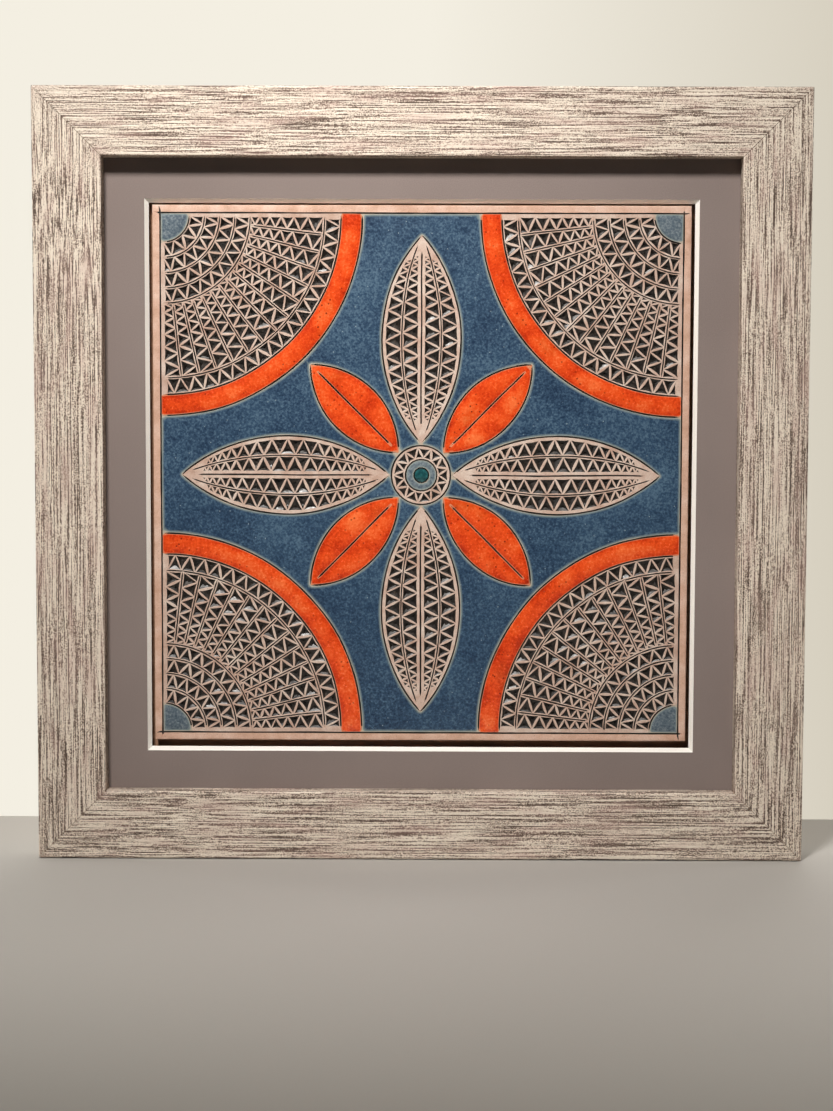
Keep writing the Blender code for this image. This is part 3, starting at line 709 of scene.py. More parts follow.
def cut_chip(corners):
    """Note one chip, its base first, with the small unevenness of a hand-held blade."""
    a, b, c = corners
    side_a, side_b, side_c = (b - c).length, (c - a).length, (a - b).length
    around = side_a + side_b + side_c
    in_radius = abs((b - a).cross(c - a)) / around
    room = in_radius - CORNER_INSET
    if room < SMALLEST_CHIP:
        return
    middle = (a * side_a + b * side_b + c * side_c) / around
    mouth = [middle + (corner - middle) * (1 - CORNER_INSET / in_radius) for corner in corners]
    mouth = [corner + Vector(rng.uniform(-HAND_JITTER, HAND_JITTER, 2)) for corner in mouth]
    bows = [min(rng.uniform(*bow), room * LARGEST_BOW) for bow in (BASE_BOW, LEG_BOW, LEG_BOW)]
    base_middle = (mouth[0] + mouth[1]) / 2
    centre = (mouth[0] + mouth[1] + mouth[2]) / 3
    bottom = centre.lerp(base_middle, rng.uniform(-0.1, 0.35))
    depth = min(CHIP_DEPTH, room) * rng.uniform(0.85, 1.1)
    chips.append((bowed_outline(mouth, bows), bottom, depth, rng.uniform(0.3, 0.5)))


# %% [markdown]
# The carver keeps each cell of a band about as long as the band is wide. The code steps along a
# band the same way: it adds up the length in units of the local width, and shares it into whole
# cells. One row of chips stands on the first edge, and the other row hangs from the second.

# %% Cells along a band
BAND_SAMPLES = 240
UPRIGHT = Matrix.Identity(2)
NO_SHIFT = Vector((0, 0))


def cell_edges(edge_a, edge_b, start, end):
    """The places along a band at which one cell ends and the next begins."""
    places = [start + (end - start) * i / BAND_SAMPLES for i in range(BAND_SAMPLES + 1)]
    middles = [(edge_a(t) + edge_b(t)) / 2 for t in places]
    phase = [0.0]
    for i in range(BAND_SAMPLES):
        width = (edge_a(places[i]) - edge_b(places[i])).length
        phase.append(phase[-1] + (middles[i + 1] - middles[i]).length / width)
    count = max(1, round(phase[-1]))
    return list(np.interp(np.linspace(0, phase[-1], count + 1), phase, places))


def cut_band(edge_a, edge_b, start, end, turn=UPRIGHT, shift=NO_SHIFT, closed=False):
    """Two rows of chips between two edges, turned and shifted into place."""
    def cut_row(base, stops, apex, tips):
        for first, second, tip in zip(stops, stops[1:], tips):
            cut_chip([turn @ (p + shift) for p in (base(first), base(second), apex(tip))])

    edges = cell_edges(edge_a, edge_b, start, end)
    middles = [(first + second) / 2 for first, second in zip(edges, edges[1:])]
    cut_row(edge_a, edges, edge_b, middles)
    if closed:
        cut_row(edge_b, middles + [middles[0] + end - start], edge_a, edges[1:])
    else:
        cut_row(edge_b, [edges[0]] + middles + [edges[-1]], edge_a, edges)


# %% [markdown]
# Lines are cut with a narrow V gouge. The outlines of the fans, rings and petals are a little
# wider and deeper than the lines that part one band from the next.

# %% Lines
LINE_STEP = 0.0028
lines = []


def cut_line(points, half_width, closed=False, taper=0.0022):
    """Note one line. It thins out towards its ends over the length given by taper."""
    lines.append(([Vector(p) for p in points], half_width, closed, taper))


def arc(radius, start, end):
    steps = max(4, round(radius * math.radians(end - start) / LINE_STEP))
    return [polar(radius, start + (end - start) * i / steps) for i in range(steps + 1)]


def straight(first, second):
    first, second = Vector(first), Vector(second)
    steps = max(2, round((second - first).length / LINE_STEP))
    return [first.lerp(second, i / steps) for i in range(steps + 1)]


# %% [markdown]
# A fan is a quarter circle. Four rings of chips lie round the disc at its heart, fourteen ribs
# spread from them, and one more ring makes the rim.

# %% Fans
RING_ENDS = (1, 89)
RING_LINE_ENDS = (0.4, 89.6)
RIB_LINE_GAP = 0.0006


def cut_fan(turn):
    shift = Vector((-FAN_CENTRE, -FAN_CENTRE))

    def cut_turned(points, half_width):
        cut_line([turn @ (p + shift) for p in points], half_width)

    step = (FAN_RIB_START - FAN_DISC_RADIUS) / FAN_ROUND_BANDS
    radii = [FAN_DISC_RADIUS + step * i for i in range(FAN_ROUND_BANDS + 1)]
    for inner, outer in [*zip(radii, radii[1:]), (FAN_RIB_END, FAN_RADIUS)]:
        cut_band(
            lambda t: polar(inner + BAND_LAND, t), lambda t: polar(outer - BAND_LAND, t),
            *RING_ENDS, turn, shift)
    for radius in radii[1:] + [FAN_RIB_END]:
        cut_turned(arc(radius, *RING_LINE_ENDS), BAND_LINE_HALF_WIDTH)
    for radius in (FAN_DISC_RADIUS, FAN_RADIUS, FAN_RADIUS + RING_WIDTH):
        cut_turned(arc(radius, 0, 90), OUTLINE_HALF_WIDTH)
    for rib in range(FAN_RIBS):
        low, high = 90 * rib / FAN_RIBS, 90 * (rib + 1) / FAN_RIBS
        near, far = (low, high) if rib < FAN_RIBS / 2 else (high, low)
        side = 1 if far > near else -1
        cut_band(
            lambda r: polar(r, near + side * math.degrees(BAND_LAND / r)),
            lambda r: polar(r, far - side * math.degrees(BAND_LAND / r)),
            FAN_RIB_START + BAND_LAND, FAN_RIB_END - BAND_LAND, turn, shift)
        if rib:
            ends = (polar(FAN_RIB_START + RIB_LINE_GAP, low), polar(FAN_RIB_END - RIB_LINE_GAP, low))
            cut_turned(straight(*ends), BAND_LINE_HALF_WIDTH)


# %% [markdown]
# A petal lies along a line from the middle of the tile. The carved ones have two bands of chips
# on each side of the vein, and the glazed ones between them have none.

# %% Petals
BAND_LINE_REACH = 0.97


def cut_petal(turn, end, half_width, bands=0):
    half_length = (end - PETAL_START) / 2
    middle = (end + PETAL_START) / 2
    reach = half_length * CHIPS_REACH

    def edge(side, along, border, land):
        width = lens_half_width(along - middle, half_length, half_width)
        across = TIP_LAND + (width - 2 * TIP_LAND) * border / bands + land
        return Vector((side * across, along))

    def cut_side(side, border, land, line_reach, line_half_width):
        steps = round(2 * line_reach / LINE_STEP)
        points = []
        for i in range(steps + 1):
            along = line_reach * (2 * i / steps - 1)
            width = lens_half_width(along, half_length, half_width)
            across = land + (width - 2 * land) * border
            points.append(turn @ Vector((side * across, middle + along)))
        cut_line(points, line_half_width)

    for side in (-1, 1):
        for band in range(bands):
            cut_band(
                lambda t: edge(side, t, band, BAND_LAND),
                lambda t: edge(side, t, band + 1, -BAND_LAND),
                middle - reach, middle + reach, turn)
            if band:
                cut_side(side, band / bands, TIP_LAND, reach * BAND_LINE_REACH, BAND_LINE_HALF_WIDTH)
        cut_side(side, 1, 0, half_length - PETAL_TIP_GAP, OUTLINE_HALF_WIDTH)
    vein = (half_length - TIP_LAND) * VEIN_REACH
    ends = [turn @ Vector((0, middle + way * vein)) for way in (-1, 1)]
    cut_line(straight(*ends), OUTLINE_HALF_WIDTH)


# %% [markdown]
# The border's lines cross at the corners and run out over the edge, a little bent at their ends,
# as a ruler and a quick hand leave them. The medallion is one round band with no end, a disc and
# the bead in its seat.

# %% Cut the whole pattern
BORDER_LINE_END_GAP = 0.0013
BORDER_LINE_BOW = Vector((0, 0.0009))

for quarter in range(4):
    turn = quarter_turn(quarter)
    cut_fan(turn)
    cut_petal(turn, CARVED_PETAL_END, CARVED_PETAL_HALF_WIDTH, CARVED_PETAL_BANDS)
    cut_petal(quarter_turn(quarter, 45), GLAZED_PETAL_END, GLAZED_PETAL_HALF_WIDTH)
    overrun = TILE_HALF - BORDER_LINE_END_GAP
    edge = FIELD_HALF + OUTLINE_HALF_WIDTH
    border = straight((-overrun, edge), (overrun, edge))
    border[0] += BORDER_LINE_BOW
    border[-1] += BORDER_LINE_BOW * 0.6
    cut_line([turn @ p for p in border], OUTLINE_HALF_WIDTH, taper=0.0004)
cut_band(
    lambda t: polar(MEDALLION_DISC_RADIUS + OUTLINE_HALF_WIDTH + BAND_LAND, t),
    lambda t: polar(MEDALLION_RADIUS - OUTLINE_HALF_WIDTH - BAND_LAND, t),
    0, 360, closed=True)
for radius in (MEDALLION_RADIUS, MEDALLION_DISC_RADIUS):
    cut_line(arc(radius, 0, 360)[:-1], OUTLINE_HALF_WIDTH, closed=True)
cut_line(arc(BEAD_SEAT_RADIUS, 0, 360)[:-1], BAND_LINE_HALF_WIDTH, closed=True)
print("chips:", len(chips), "lines:", len(lines))

# %% [markdown]
# To turn the drawing into clay, every corner of a chip and both edges of every line go into one
# flat triangulation that keeps them as edges. A line's width wavers a little, and it is noted
# at many places along its middle, because the points near it take their height from there.

# %% Flat points and edges
LIP_DROP = 0.00016
LIP_WIDTH = 0.00016
LINE_END_SHARE = 0.12
LINE_WAVER = 0.16
LINE_WAVER_CELL = 0.011
flat_points = []
flat_edges = []
known_height = []


def add_points(points, height=None):
    """Add points, with a set height or one to be found later, and return their numbers."""
    start = len(flat_points)
    flat_points.extend((float(p[0]), float(p[1])) for p in points)
    known_height.extend([math.nan if height is None else height] * len(points))
    return list(range(start, len(flat_points)))


def add_chain(points, closed, height=None):
    """Add points and the edges from each to the next."""
    numbers = add_points(points, height)
    flat_edges.extend(zip(numbers, numbers[1:] + numbers[:1] if closed else numbers[1:]))


line_samples = []
for points, half_width, closed, taper in lines:
    last = len(points) - 1
    lefts, rights = [], []
    travelled = 0.0
    total = sum((b - a).length for a, b in zip(points, points[1:]))
    for i, point in enumerate(points):
        before = points[i - 1] if i or closed else point
        after = points[i + 1] if i < last else points[0] if closed else point
        direction = (after - before).normalized()
        normal = Vector((-direction.y, direction.x))
        if i:
            travelled += (point - points[i - 1]).length
        room = 1.0 if closed else min(1.0, travelled / taper, (total - travelled) / taper)
        waver = float(smooth_noise(point.x, point.y, LINE_WAVER_CELL, LINE_WAVER_CELL, 31))
        width = half_width * max(room, LINE_END_SHARE) * (1 + LINE_WAVER * waver)
        lefts.append(point + normal * width)
        rights.append(point - normal * width)
        line_samples.append((point.x, point.y, width))
        if i < last or closed:
            for part in (0.25, 0.5, 0.75):
                line_samples.append((*point.lerp(after, part), width))
    for chain in (lefts, rights, points):
        add_chain(chain, closed)

for mouth, bottom, depth, shallow in chips:
    add_chain(mouth, True)
    narrowest = min((point - bottom).length for point in mouth)
    inner = [point.lerp(bottom, LIP_WIDTH / narrowest) for point in mouth]
    add_chain(inner, True, -LIP_DROP)
    halfway = [point.lerp(bottom, 0.5) for point in inner[::SIDE_PARTS // 2]]
    add_chain(halfway, True, -depth * shallow)
    add_points([bottom], -depth)
line_samples = np.array(line_samples)
print("flat points:", len(flat_points), "edges:", len(flat_edges), "line samples:", len(line_samples))

# %% [markdown]
# Which glaze lies where is a matter of simple tests: inside a ring, inside a petal, inside a
# disc. The same test serves the swelling of the glazes and, later, the colour of each face.

# %% Areas of the tile
CLAY, BLUE, ORANGE, SLATE, BEAD, BORDER, STAIN = range(7)


def in_petal(across, along, end, half_width):
    """Inside a pointed petal that starts at the medallion."""
    half_length = (end - PETAL_START) / 2
    along = along - (PETAL_START + end) / 2
    return (np.abs(along) < half_length) & (across < lens_half_width(along, half_length, half_width))


def area_of(points):
    """The area that each point of the tile's face lies in. A later test overrules an earlier one."""
    fold_u, fold_v = np.abs(points[:, 0]), np.abs(points[:, 1])
    across, along = np.minimum(fold_u, fold_v), np.maximum(fold_u, fold_v)
    slant_across, slant_along = np.abs(fold_u - fold_v) / math.sqrt(2), (fold_u + fold_v) / math.sqrt(2)
    from_fan = np.hypot(FAN_CENTRE - fold_u, FAN_CENTRE - fold_v)
    from_middle = np.hypot(fold_u, fold_v)
    tests = (
        (from_fan < FAN_RADIUS + RING_WIDTH, ORANGE),
        (from_fan < FAN_RADIUS, CLAY),
        (from_fan < FAN_DISC_RADIUS, SLATE),
        (in_petal(across, along, CARVED_PETAL_END, CARVED_PETAL_HALF_WIDTH), CLAY),
        (in_petal(slant_across, slant_along, GLAZED_PETAL_END, GLAZED_PETAL_HALF_WIDTH), ORANGE),
        (from_middle < MEDALLION_RADIUS, CLAY),
        (from_middle < MEDALLION_DISC_RADIUS, SLATE),
        (from_middle < BEAD_SEAT_RADIUS, BEAD),
        (along > FIELD_HALF, BORDER))
    area = np.full(len(points), BLUE)
    for inside, kind in tests:
        area[inside] = kind
    return area


line_tree = KDTree(len(line_samples))
for i, sample in enumerate(line_samples):
    line_tree.insert((sample[0], sample[1], 0), i)
line_tree.balance()


def nearest_line(points):
    """Distance from each point to the nearest line's middle, and that line's half width."""
    found = [line_tree.find((p[0], p[1], 0)) for p in points]
    distance = np.array([f[2] for f in found])
    half_width = line_samples[[f[1] for f in found], 2]
    return distance, half_width


# %% [markdown]
# Glaze swells between its borders, so its areas get points of their own on a fine uneven grid.
# The border of bare clay gets a third as many, for its slight waver. Last come the points round
# the rim, just inside the eased edge.

# %% Points of the glazed areas and the rim
GLAZE_STEP = 0.0023
GRID_JITTER = 0.3
KEEP_FROM_LINE = 0.0011
KEEP_FROM_EDGE = 0.0025
KEEP_FROM_FIELD = 0.001
EDGE_EASE = 0.0009
RIM = TILE_HALF - EDGE_EASE
RIM_STEPS = 100

steps = int(TILE_HALF / GLAZE_STEP) + 1
ticks = np.arange(-steps, steps + 1) * GLAZE_STEP
grid = np.stack(np.meshgrid(ticks, ticks), axis=-1).reshape(-1, 2)
grid += rng.uniform(-GRID_JITTER, GRID_JITTER, grid.shape) * GLAZE_STEP
farthest = np.max(np.abs(grid), axis=1)
free = (farthest < TILE_HALF - KEEP_FROM_EDGE) & (nearest_line(grid)[0] > KEEP_FROM_LINE)
glazed = free & ~np.isin(area_of(grid), (CLAY, BORDER))
add_points(grid[glazed])
add_points(grid[free & (farthest > FIELD_HALF + KEEP_FROM_FIELD)][::3])
for quarter in range(4):
    side = [Vector((-RIM + 2 * RIM * i / RIM_STEPS, -RIM)) for i in range(RIM_STEPS + 1)]
    add_chain([quarter_turn(quarter) @ p for p in side], False)
print("glaze points:", int(glazed.sum()), "in all:", len(flat_points))

# %% [markdown]
# Now the flat net is made and each of its points gets a height: the low point of a chip, the
# bottom of a line, the swell of a glaze, the dome of the bead or the slight waver of bare clay.

# %% Triangulate and raise
LINE_DEPTH_RATIO = 1.5
CLAY_WAVER = 0.00010
FINE_WAVER = 0.00005
SWELL_REACH = (0.0004, 0.006)
SWELL = {BLUE: 0.00016, ORANGE: 0.00045, SLATE: 0.0003}
BLUE_SAG = 0.00006
BEAD_SINK = 0.0001


def tile_noise(cell, seed):
    return smooth_noise(flat_verts[:, 0], flat_verts[:, 1], cell, cell, seed)


flat = delaunay_2d_cdt([Vector(p) for p in flat_points], flat_edges, [], 0, 1e-6)
flat_verts = np.array([(p.x, p.y) for p in flat[0]])
triangles = np.array([face for face in flat[2] if len(face) == 3])
set_height = np.full(len(flat_verts), math.nan)
for number, sources in enumerate(flat[3]):
    heights = [known_height[s] for s in sources if not math.isnan(known_height[s])]
    if heights:
        set_height[number] = min(heights)

vert_area = area_of(flat_verts)
vert_distance, vert_half_width = nearest_line(flat_verts)
swell = ease(vert_distance, *SWELL_REACH)
fine_waver = tile_noise(0.006, 42)
height = CLAY_WAVER * tile_noise(0.021, 41) + FINE_WAVER * fine_waver
height += np.where(vert_area == BLUE, swell * BLUE_SAG * fine_waver, 0)
for kind, rise in SWELL.items():
    height += np.where(vert_area == kind, swell * rise, 0)
from_middle = np.hypot(flat_verts[:, 0], flat_verts[:, 1])
dome = np.sqrt(np.maximum(1 - (from_middle / BEAD_RADIUS) ** 2, 0))
height = np.where(vert_area == BEAD, dome * (BEAD_HEIGHT - BEAD_SINK), height)
groove = np.clip(1 - vert_distance / vert_half_width, 0, 1)
height -= groove * vert_half_width * LINE_DEPTH_RATIO
height = np.where(np.isnan(set_height), height, set_height)
height = np.minimum(height, BEAD_HEIGHT)
print("triangles on the face:", len(triangles), "lowest", round(float(height.min()) * 1000, 2), "mm")

# %% [markdown]
# Each face now gets its finish. Faces in a chip or a line are stained black, faces in a glazed
# area carry that glaze and all others are bare clay.

# %% Sort the faces
LINE_STAIN_SHARE = 0.96

middles = flat_verts[triangles].mean(axis=1)
face_distance, face_half_width = nearest_line(middles)
in_line = face_distance < face_half_width * LINE_STAIN_SHARE
in_chip = ~np.isnan(set_height[triangles]).any(axis=1)
finish_of_face = np.where(in_line | in_chip, STAIN, area_of(middles))
print("stained faces:", int((finish_of_face == STAIN).sum()))

# %% [markdown]
# The clay of the tile is a warm pink-brown that fires paler on the raised lands. The black is a
# stain and glaze rubbed into every cut and wiped from the top, so it is glossy where it lies
# thick.

# %% Clay and stain
def bare_clay(name, dark, middle, pale):
    clay = Finish(name, Roughness=0.7, Specular_IOR_Level=0.35)
    cloudy = clay.noise(90, 4.0)
    gritty = clay.noise(900)
    colour = clay.ramp(cloudy, (0.3, *dark), (0.5, *middle), (0.7, *pale))
    colour = clay.tint(colour, gritty, 0.35, 0.7, 0.22, (150, 104, 84))
    colour = clay.tint(colour, clay.spots(420), 0.05, 0.16, 0.5, (96, 66, 54))
    relief = clay.bump(gritty, 0.35, 0.00012)
    return clay.feed(Base_Color=colour, Roughness=clay.spread(cloudy, 0.75, 0.5), Normal=relief)


CARVED_CLAY = bare_clay("carved_clay", (194, 162, 144), (212, 187, 171), (227, 211, 197))
BORDER_CLAY = bare_clay("border_clay", (206, 164, 140), (222, 184, 162), (233, 202, 184))
BLACK_STAIN = plain_finish(
    "black_stain", ((0.36, 16, 13, 11), (0.58, 36, 30, 25), (0.8, 84, 70, 58)), 420,
    rough=(0.3, 0.55), relief=(0.5, 0.0003), Specular_IOR_Level=0.5, Coat_Weight=0.5,
    Coat_Roughness=0.38)
print("clay:", CARVED_CLAY.name, BORDER_CLAY.name, BLACK_STAIN.name)

# %% [markdown]
# The blue is a speckled semi-matt glaze that runs thin and pale at its edges, and the orange is
# thick, glossy and mottled, with burnt patches and pits. Each point of the face carries how far
# it is from the nearest line, which is where a glaze ends.

# %% Glazes
def blue_glaze(name, deep, middle, pale, halo_to):
    glaze = Finish(name, Specular_IOR_Level=0.5, Coat_Weight=0.25, Coat_Roughness=0.25)
    speckle = glaze.noise(620, 3.0, 0.62)
    cloud = glaze.noise(26, 4.0)
    tone = glaze.add(glaze.level(speckle, 0.25, 0.75, 0.0, 0.72), glaze.spread(cloud, 0.0, 0.28))
    edge = glaze.add(glaze.carried("edge"), glaze.spread(cloud, -0.0004, 0.0004))
    colour = glaze.ramp(tone, (0.22, *deep), (0.5, *middle), (0.82, *pale))
    colour = glaze.tint(colour, glaze.spots(150), 0.035, 0.075, 0.75, (168, 186, 192))
    colour = glaze.tint(colour, edge, 0.0007, halo_to, 1.0, (142, 155, 152))
    colour = glaze.tint(colour, edge, 0.0005, 0.0010, 0.9, (192, 176, 156))
    rough = glaze.spread(speckle, 0.3, 0.48)
    return glaze.feed(Base_Color=colour, Roughness=rough, Normal=glaze.bump(speckle, 0.25, 0.00015))


def orange_glaze():
    glaze = Finish("orange_glaze", Specular_IOR_Level=0.55, Coat_Weight=0.6, Coat_Roughness=0.12)
    mottle = glaze.noise(55, 5.0, 0.62)
    fine = glaze.noise(520)
    burnt = glaze.noise(21, 4.0)
    edge = glaze.carried("edge")
    tone = glaze.add(
        glaze.level(mottle, 0.25, 0.75, 0.0, 0.7), glaze.spread(fine, 0.0, 0.3),
        glaze.level(edge, 0.0005, 0.005, -0.14, 0.06))
    colour = glaze.ramp(
        tone, (0.08, 160, 38, 12), (0.34, 212, 60, 18), (0.58, 240, 84, 30), (0.9, 253, 124, 66))
    colour = glaze.mix(glaze.level(burnt, 0.58, 0.74, 0.0, 0.5), colour, seen(168, 76, 20))
    pits = glaze.level(glaze.spots(230), 0.10, 0.2, 1.0, 0.0)
    pits = glaze.math("MULTIPLY", pits, glaze.level(burnt, 0.45, 0.6, 0.15, 0.9))
    colour = glaze.mix(pits, colour, seen(98, 20, 8))
    colour = glaze.tint(colour, edge, 0.0006, 0.0013, 0.85, (226, 152, 112))
    relief = glaze.bump(mottle, 0.3, 0.0006)
    return glaze.feed(Base_Color=colour, Roughness=glaze.spread(fine, 0.14, 0.3), Normal=relief)


BEAD_GLAZE = plain_finish(
    "teal_bead_glaze", ((0.35, 18, 52, 58), (0.6, 40, 96, 98), (0.8, 84, 140, 136)), 320,
    rough=(0.08, 0.18), Specular_IOR_Level=0.6, Coat_Weight=0.8, Coat_Roughness=0.06)
TILE_FINISHES = {
    CLAY: CARVED_CLAY,
    BLUE: blue_glaze("blue_glaze", (26, 48, 74), (48, 75, 101), (84, 112, 134), 0.0026),
    ORANGE: orange_glaze(),
    SLATE: blue_glaze("slate_glaze", (64, 80, 94), (98, 112, 122), (140, 150, 154), 0.0022),
    BEAD: BEAD_GLAZE,
    BORDER: BORDER_CLAY,
    STAIN: BLACK_STAIN,
}
print("tile finishes:", [finish.name for finish in TILE_FINISHES.values()])

# %% [markdown]
# The raised net becomes the face of the tile, warped a little as clay warps in the kiln. The body
# under it is drawn down from its rim: over the eased edge, down the sides, and closed at the back.

# %% The carved tile
WARP = 0.00035
WARP_CELL = 0.030
WARP_FREE = 0.012
EDGE_REACH = 0.01
RIM_DROPS = ((EDGE_EASE * 0.6, EDGE_EASE * 0.22), (EDGE_EASE, EDGE_EASE), (EDGE_EASE, TILE_THICKNESS))


def carved_face(mesh):
    """The carved face, each point with its distance from the nearest line."""
    hold = ease(TILE_HALF - np.max(np.abs(flat_verts), axis=1), 0.0, WARP_FREE)
    warp = np.column_stack((tile_noise(WARP_CELL, 51), tile_noise(WARP_CELL, 52))) * WARP
    bent = flat_verts + warp * hold[:, None]
    places = np.column_stack((bent[:, 0], TILE_FACE_Y - height, TILE_Z + bent[:, 1]))
    mesh.from_pydata(places.tolist(), [], triangles.tolist())
    mesh.polygons.foreach_set("material_index", finish_of_face.tolist())
    point_values(mesh, "edge", np.minimum(vert_distance, EDGE_REACH))


def tile_body(builder):
    """The eased rim, the sides and the back, drawn out of the edge of the face."""
    bmesh.ops.delete(builder, geom=[v for v in builder.verts if not v.link_faces], context="VERTS")
    bmesh.ops.recalc_face_normals(builder, faces=builder.faces)
    rim_edges = [e for e in builder.edges if e.is_boundary]
    for outward, down in RIM_DROPS:
        grown = bmesh.ops.extrude_edge_only(builder, edges=rim_edges)["geom"]
        rim_edges = [g for g in grown if isinstance(g, bmesh.types.BMEdge) and g.is_boundary]
        for vert in [g for g in grown if isinstance(g, bmesh.types.BMVert)]:
            u, v = vert.co.x, vert.co.z - TILE_Z
            size = (RIM + outward) / max(abs(u), abs(v))
            vert.co = (u * size, TILE_FACE_Y + down, TILE_Z + v * size)
        for face in [g for g in grown if isinstance(g, bmesh.types.BMFace)]:
            face.material_index = BORDER
    for face in bmesh.ops.contextual_create(builder, geom=rim_edges)["faces"]:
        face.material_index = BORDER
    bmesh.ops.recalc_face_normals(builder, faces=builder.faces)


tile_mesh = bpy.data.meshes.new("carved_tile")
carved_face(tile_mesh)
tile_builder = bmesh.new()
tile_builder.from_mesh(tile_mesh)
tile_body(tile_builder)
tile_builder.to_mesh(tile_mesh)
tile_builder.free()
for kind in sorted(TILE_FINISHES):
    tile_mesh.materials.append(TILE_FINISHES[kind])
smooth_by_angle(tile_mesh, 24)
show("carved_tile", tile_mesh, "glazed_clay", "ceramic_tile")

# %% [markdown]
# The mat is thick card with a fine paper face, cut at a slant so that its white core shows as a
# bright line round the window. The solid has the right shape, so only its finish is made: the
# slanted faces are told from the flat one by the direction that they face. The boards, the foam,
# the brown paper and the plated hanger are solids too, each with a finish of its own. The screws
# share the hanger's, and the bumpers have one like clear rubber.

# %% Finishes of the mat, the boards and the fittings
def mat_card():
    card = Finish("mat_card", Roughness=0.88, Specular_IOR_Level=0.2)
    fibres = card.noise(1400)
    cloud = card.noise(9, 2.0, 0.5)
    tone = card.add(card.spread(fibres, 0.0, 0.7), card.spread(cloud, 0.0, 0.3))
    paper = card.ramp(tone, (0.2, 132, 119, 114), (0.8, 144, 131, 126))
    core = card.ramp(fibres, (0.3, 244, 240, 231), (0.7, 253, 251, 246))
    facing = card.node("SeparateXYZ", Vector=card.node("NewGeometry").outputs["Normal"])
    slanted = card.level(card.math("ABSOLUTE", facing.outputs["Y"]), 0.85, 0.9, 1.0, 0.0)
    colour = card.mix(slanted, paper, core)
    return card.feed(Base_Color=colour, Normal=card.bump(fibres, 0.2, 0.0001))


def board(name, dark, light, scale):
    colours = ((0.3, *dark), (0.7, *light))
    return plain_finish(name, colours, scale, 4.0, relief=(0.2, 0.0003), Roughness=0.8)


def kraft_paper():
    paper = Finish("kraft_paper", Roughness=0.72, Specular_IOR_Level=0.35)
    fibres = paper.noise((190, 190, 900), 4.0, 0.65)
    cloud = paper.noise(9)
    pulls = paper.noise((5, 5, 13), 1.0, 0.4)
    tone = paper.add(paper.level(fibres, 0.25, 0.75, 0.0, 0.82), paper.spread(cloud, 0.0, 0.18))
    colour = paper.ramp(tone, (0.15, 150, 117, 84), (0.5, 176, 143, 106), (0.85, 198, 168, 132))
    relief = paper.bump(pulls, 1.0, 0.03, Normal=paper.bump(fibres, 0.3, 0.0003))
    relief = paper.bump(paper.spots(8, "SMOOTH_F1"), 0.7, 0.02, Normal=relief)
    return paper.feed(Base_Color=colour, Roughness=paper.spread(cloud, 0.62, 0.8), Normal=relief)


ZINC = plain_finish(
    "zinc_plated_steel", ((0.3, 168, 164, 152), (0.7, 206, 202, 190)), (300, 300, 2600),
    rough=(0.28, 0.45), Metallic=1.0)
RUBBER = plain_finish(
    "clear_rubber_dot", ((0.3, 206, 206, 198), (0.7, 228, 228, 220)), 400, 2.0, 0.5,
    Roughness=0.25, Transmission_Weight=0.6, IOR=1.45)
FOAM = board("foam_strip", (206, 204, 196), (224, 222, 214), (800, 800, 800))
FINISH_OF_NODE = {
    "mat_board": mat_card(),
    "mount_board": board("stained_plywood", (150, 112, 86), (178, 138, 110), (40, 400, 400)),
    "backing_board": board("hardboard", (88, 60, 40), (112, 80, 56), (500, 500, 500)),
    "dust_cover": kraft_paper(),
    "sawtooth_hanger": ZINC,
}
print("finishes in all:", len(bpy.data.materials))

# %% [markdown]
# The screws and the bumpers are small, but a close look at the back finds them. A screw's head is
# pressed as a low dome with a cross in it, and a bumper is cast as a smooth dome with a flat rim.
# Both are made of rings round a middle, with a height for each place on a ring.

# %% Screws and bumpers
ROUND_STEPS = 72
RIM_SHARE = 0.15
SCREW_HEAD_HEIGHT = 0.0014
SCREW_SHANK_SHARE = 0.45
SCREW_POINT_SHARE = 0.05
SCREW_POINT_LENGTH = 0.003
CROSS_LENGTH = 0.62
CROSS_WIDTH = 0.16
CROSS_DEPTH = 0.0007


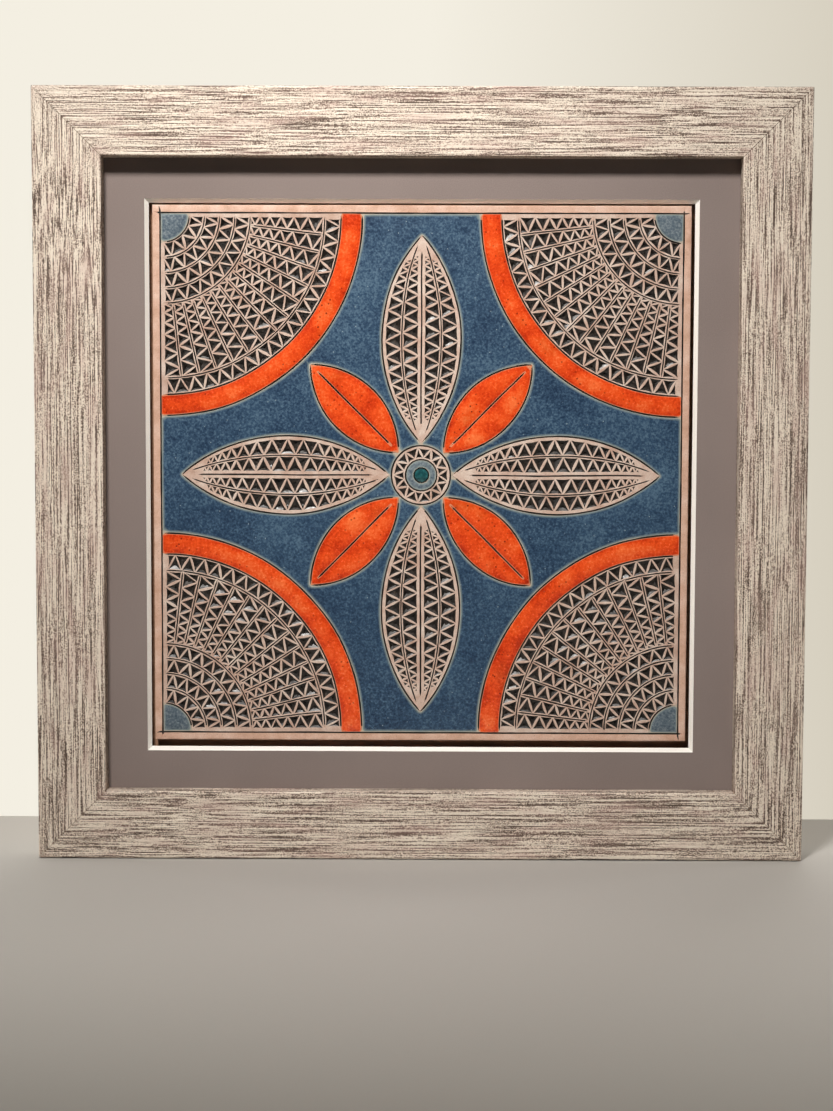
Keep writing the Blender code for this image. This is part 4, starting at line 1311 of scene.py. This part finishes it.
def dome_mesh(name, node, head_height, steps, finish, shank_share=0, cross_depth=0):
    """A dome that looks at the wall, with or without a cross and a pointed shank."""
    low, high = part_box(node)
    radius = (high.x - low.x) / 2
    middle = (low + high) / 2
    angles = 2 * math.pi * np.arange(ROUND_STEPS) / ROUND_STEPS
    circle = np.column_stack((np.cos(angles), np.sin(angles)))
    foot = high.y - head_height
    rim = RIM_SHARE * head_height

    rings = []
    for share in np.linspace(1 / steps, 1, steps):
        off = np.abs(circle) * share
        in_length = ease(CROSS_LENGTH - off.max(axis=1), 0, 0.12)
        in_width = ease(CROSS_WIDTH - off.min(axis=1), 0, 0.07)
        rise = rim + (head_height - rim) * math.sqrt(max(1 - share ** 2, 0))
        rings.append((share, foot + rise - in_length * in_width * cross_depth))
    rings.append((1.0, foot))
    if shank_share:
        rings += [(shank_share, foot), (shank_share, low.y + SCREW_POINT_LENGTH)]
        rings.append((SCREW_POINT_SHARE, low.y))

    points = [(middle.x, high.y - cross_depth, middle.z)]
    for share, y in rings:
        x, z = middle.x + radius * share * circle[:, 0], middle.z + radius * share * circle[:, 1]
        points += np.column_stack((x, np.broadcast_to(y, x.shape), z)).tolist()
    number = 1 + np.arange(len(rings) * ROUND_STEPS).reshape(-1, ROUND_STEPS)
    after = np.roll(number, -1, axis=1)
    faces = [(0, b, a) for a, b in zip(number[0].tolist(), after[0].tolist())]
    faces += np.stack((number[:-1], after[:-1], after[1:], number[1:]), axis=-1).reshape(-1, 4).tolist()
    faces.append(number[-1].tolist())
    mesh = bpy.data.meshes.new(name)
    mesh.from_pydata(points, [], faces)
    mesh.materials.append(finish)
    smooth_by_angle(mesh, 40)
    return mesh


for side in ("left", "right"):
    name, node = "cross_screw_" + side, "hanger_screw_" + side
    screw = dome_mesh(name, node, SCREW_HEAD_HEIGHT, 26, ZINC, SCREW_SHANK_SHARE, CROSS_DEPTH)
    show(name, screw, "plated_steel", node)
    name, node = "domed_bumper_" + side, "bumper_" + side
    low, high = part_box(node)
    show(name, dome_mesh(name, node, high.y - low.y, 14, RUBBER), "clear_bumper", node)

# %% [markdown]
# The solids that no finer piece stands for keep their shape and get their finishes.

# %% Dress the solids still shown
for name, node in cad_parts.items():
    if not node.hide_render:
        finish = FOAM if name.startswith("spacer") else FINISH_OF_NODE[name]
        node.data.materials.clear()
        node.data.materials.append(finish)
print("solids still shown:", sorted(n for n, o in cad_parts.items() if not o.hide_render))
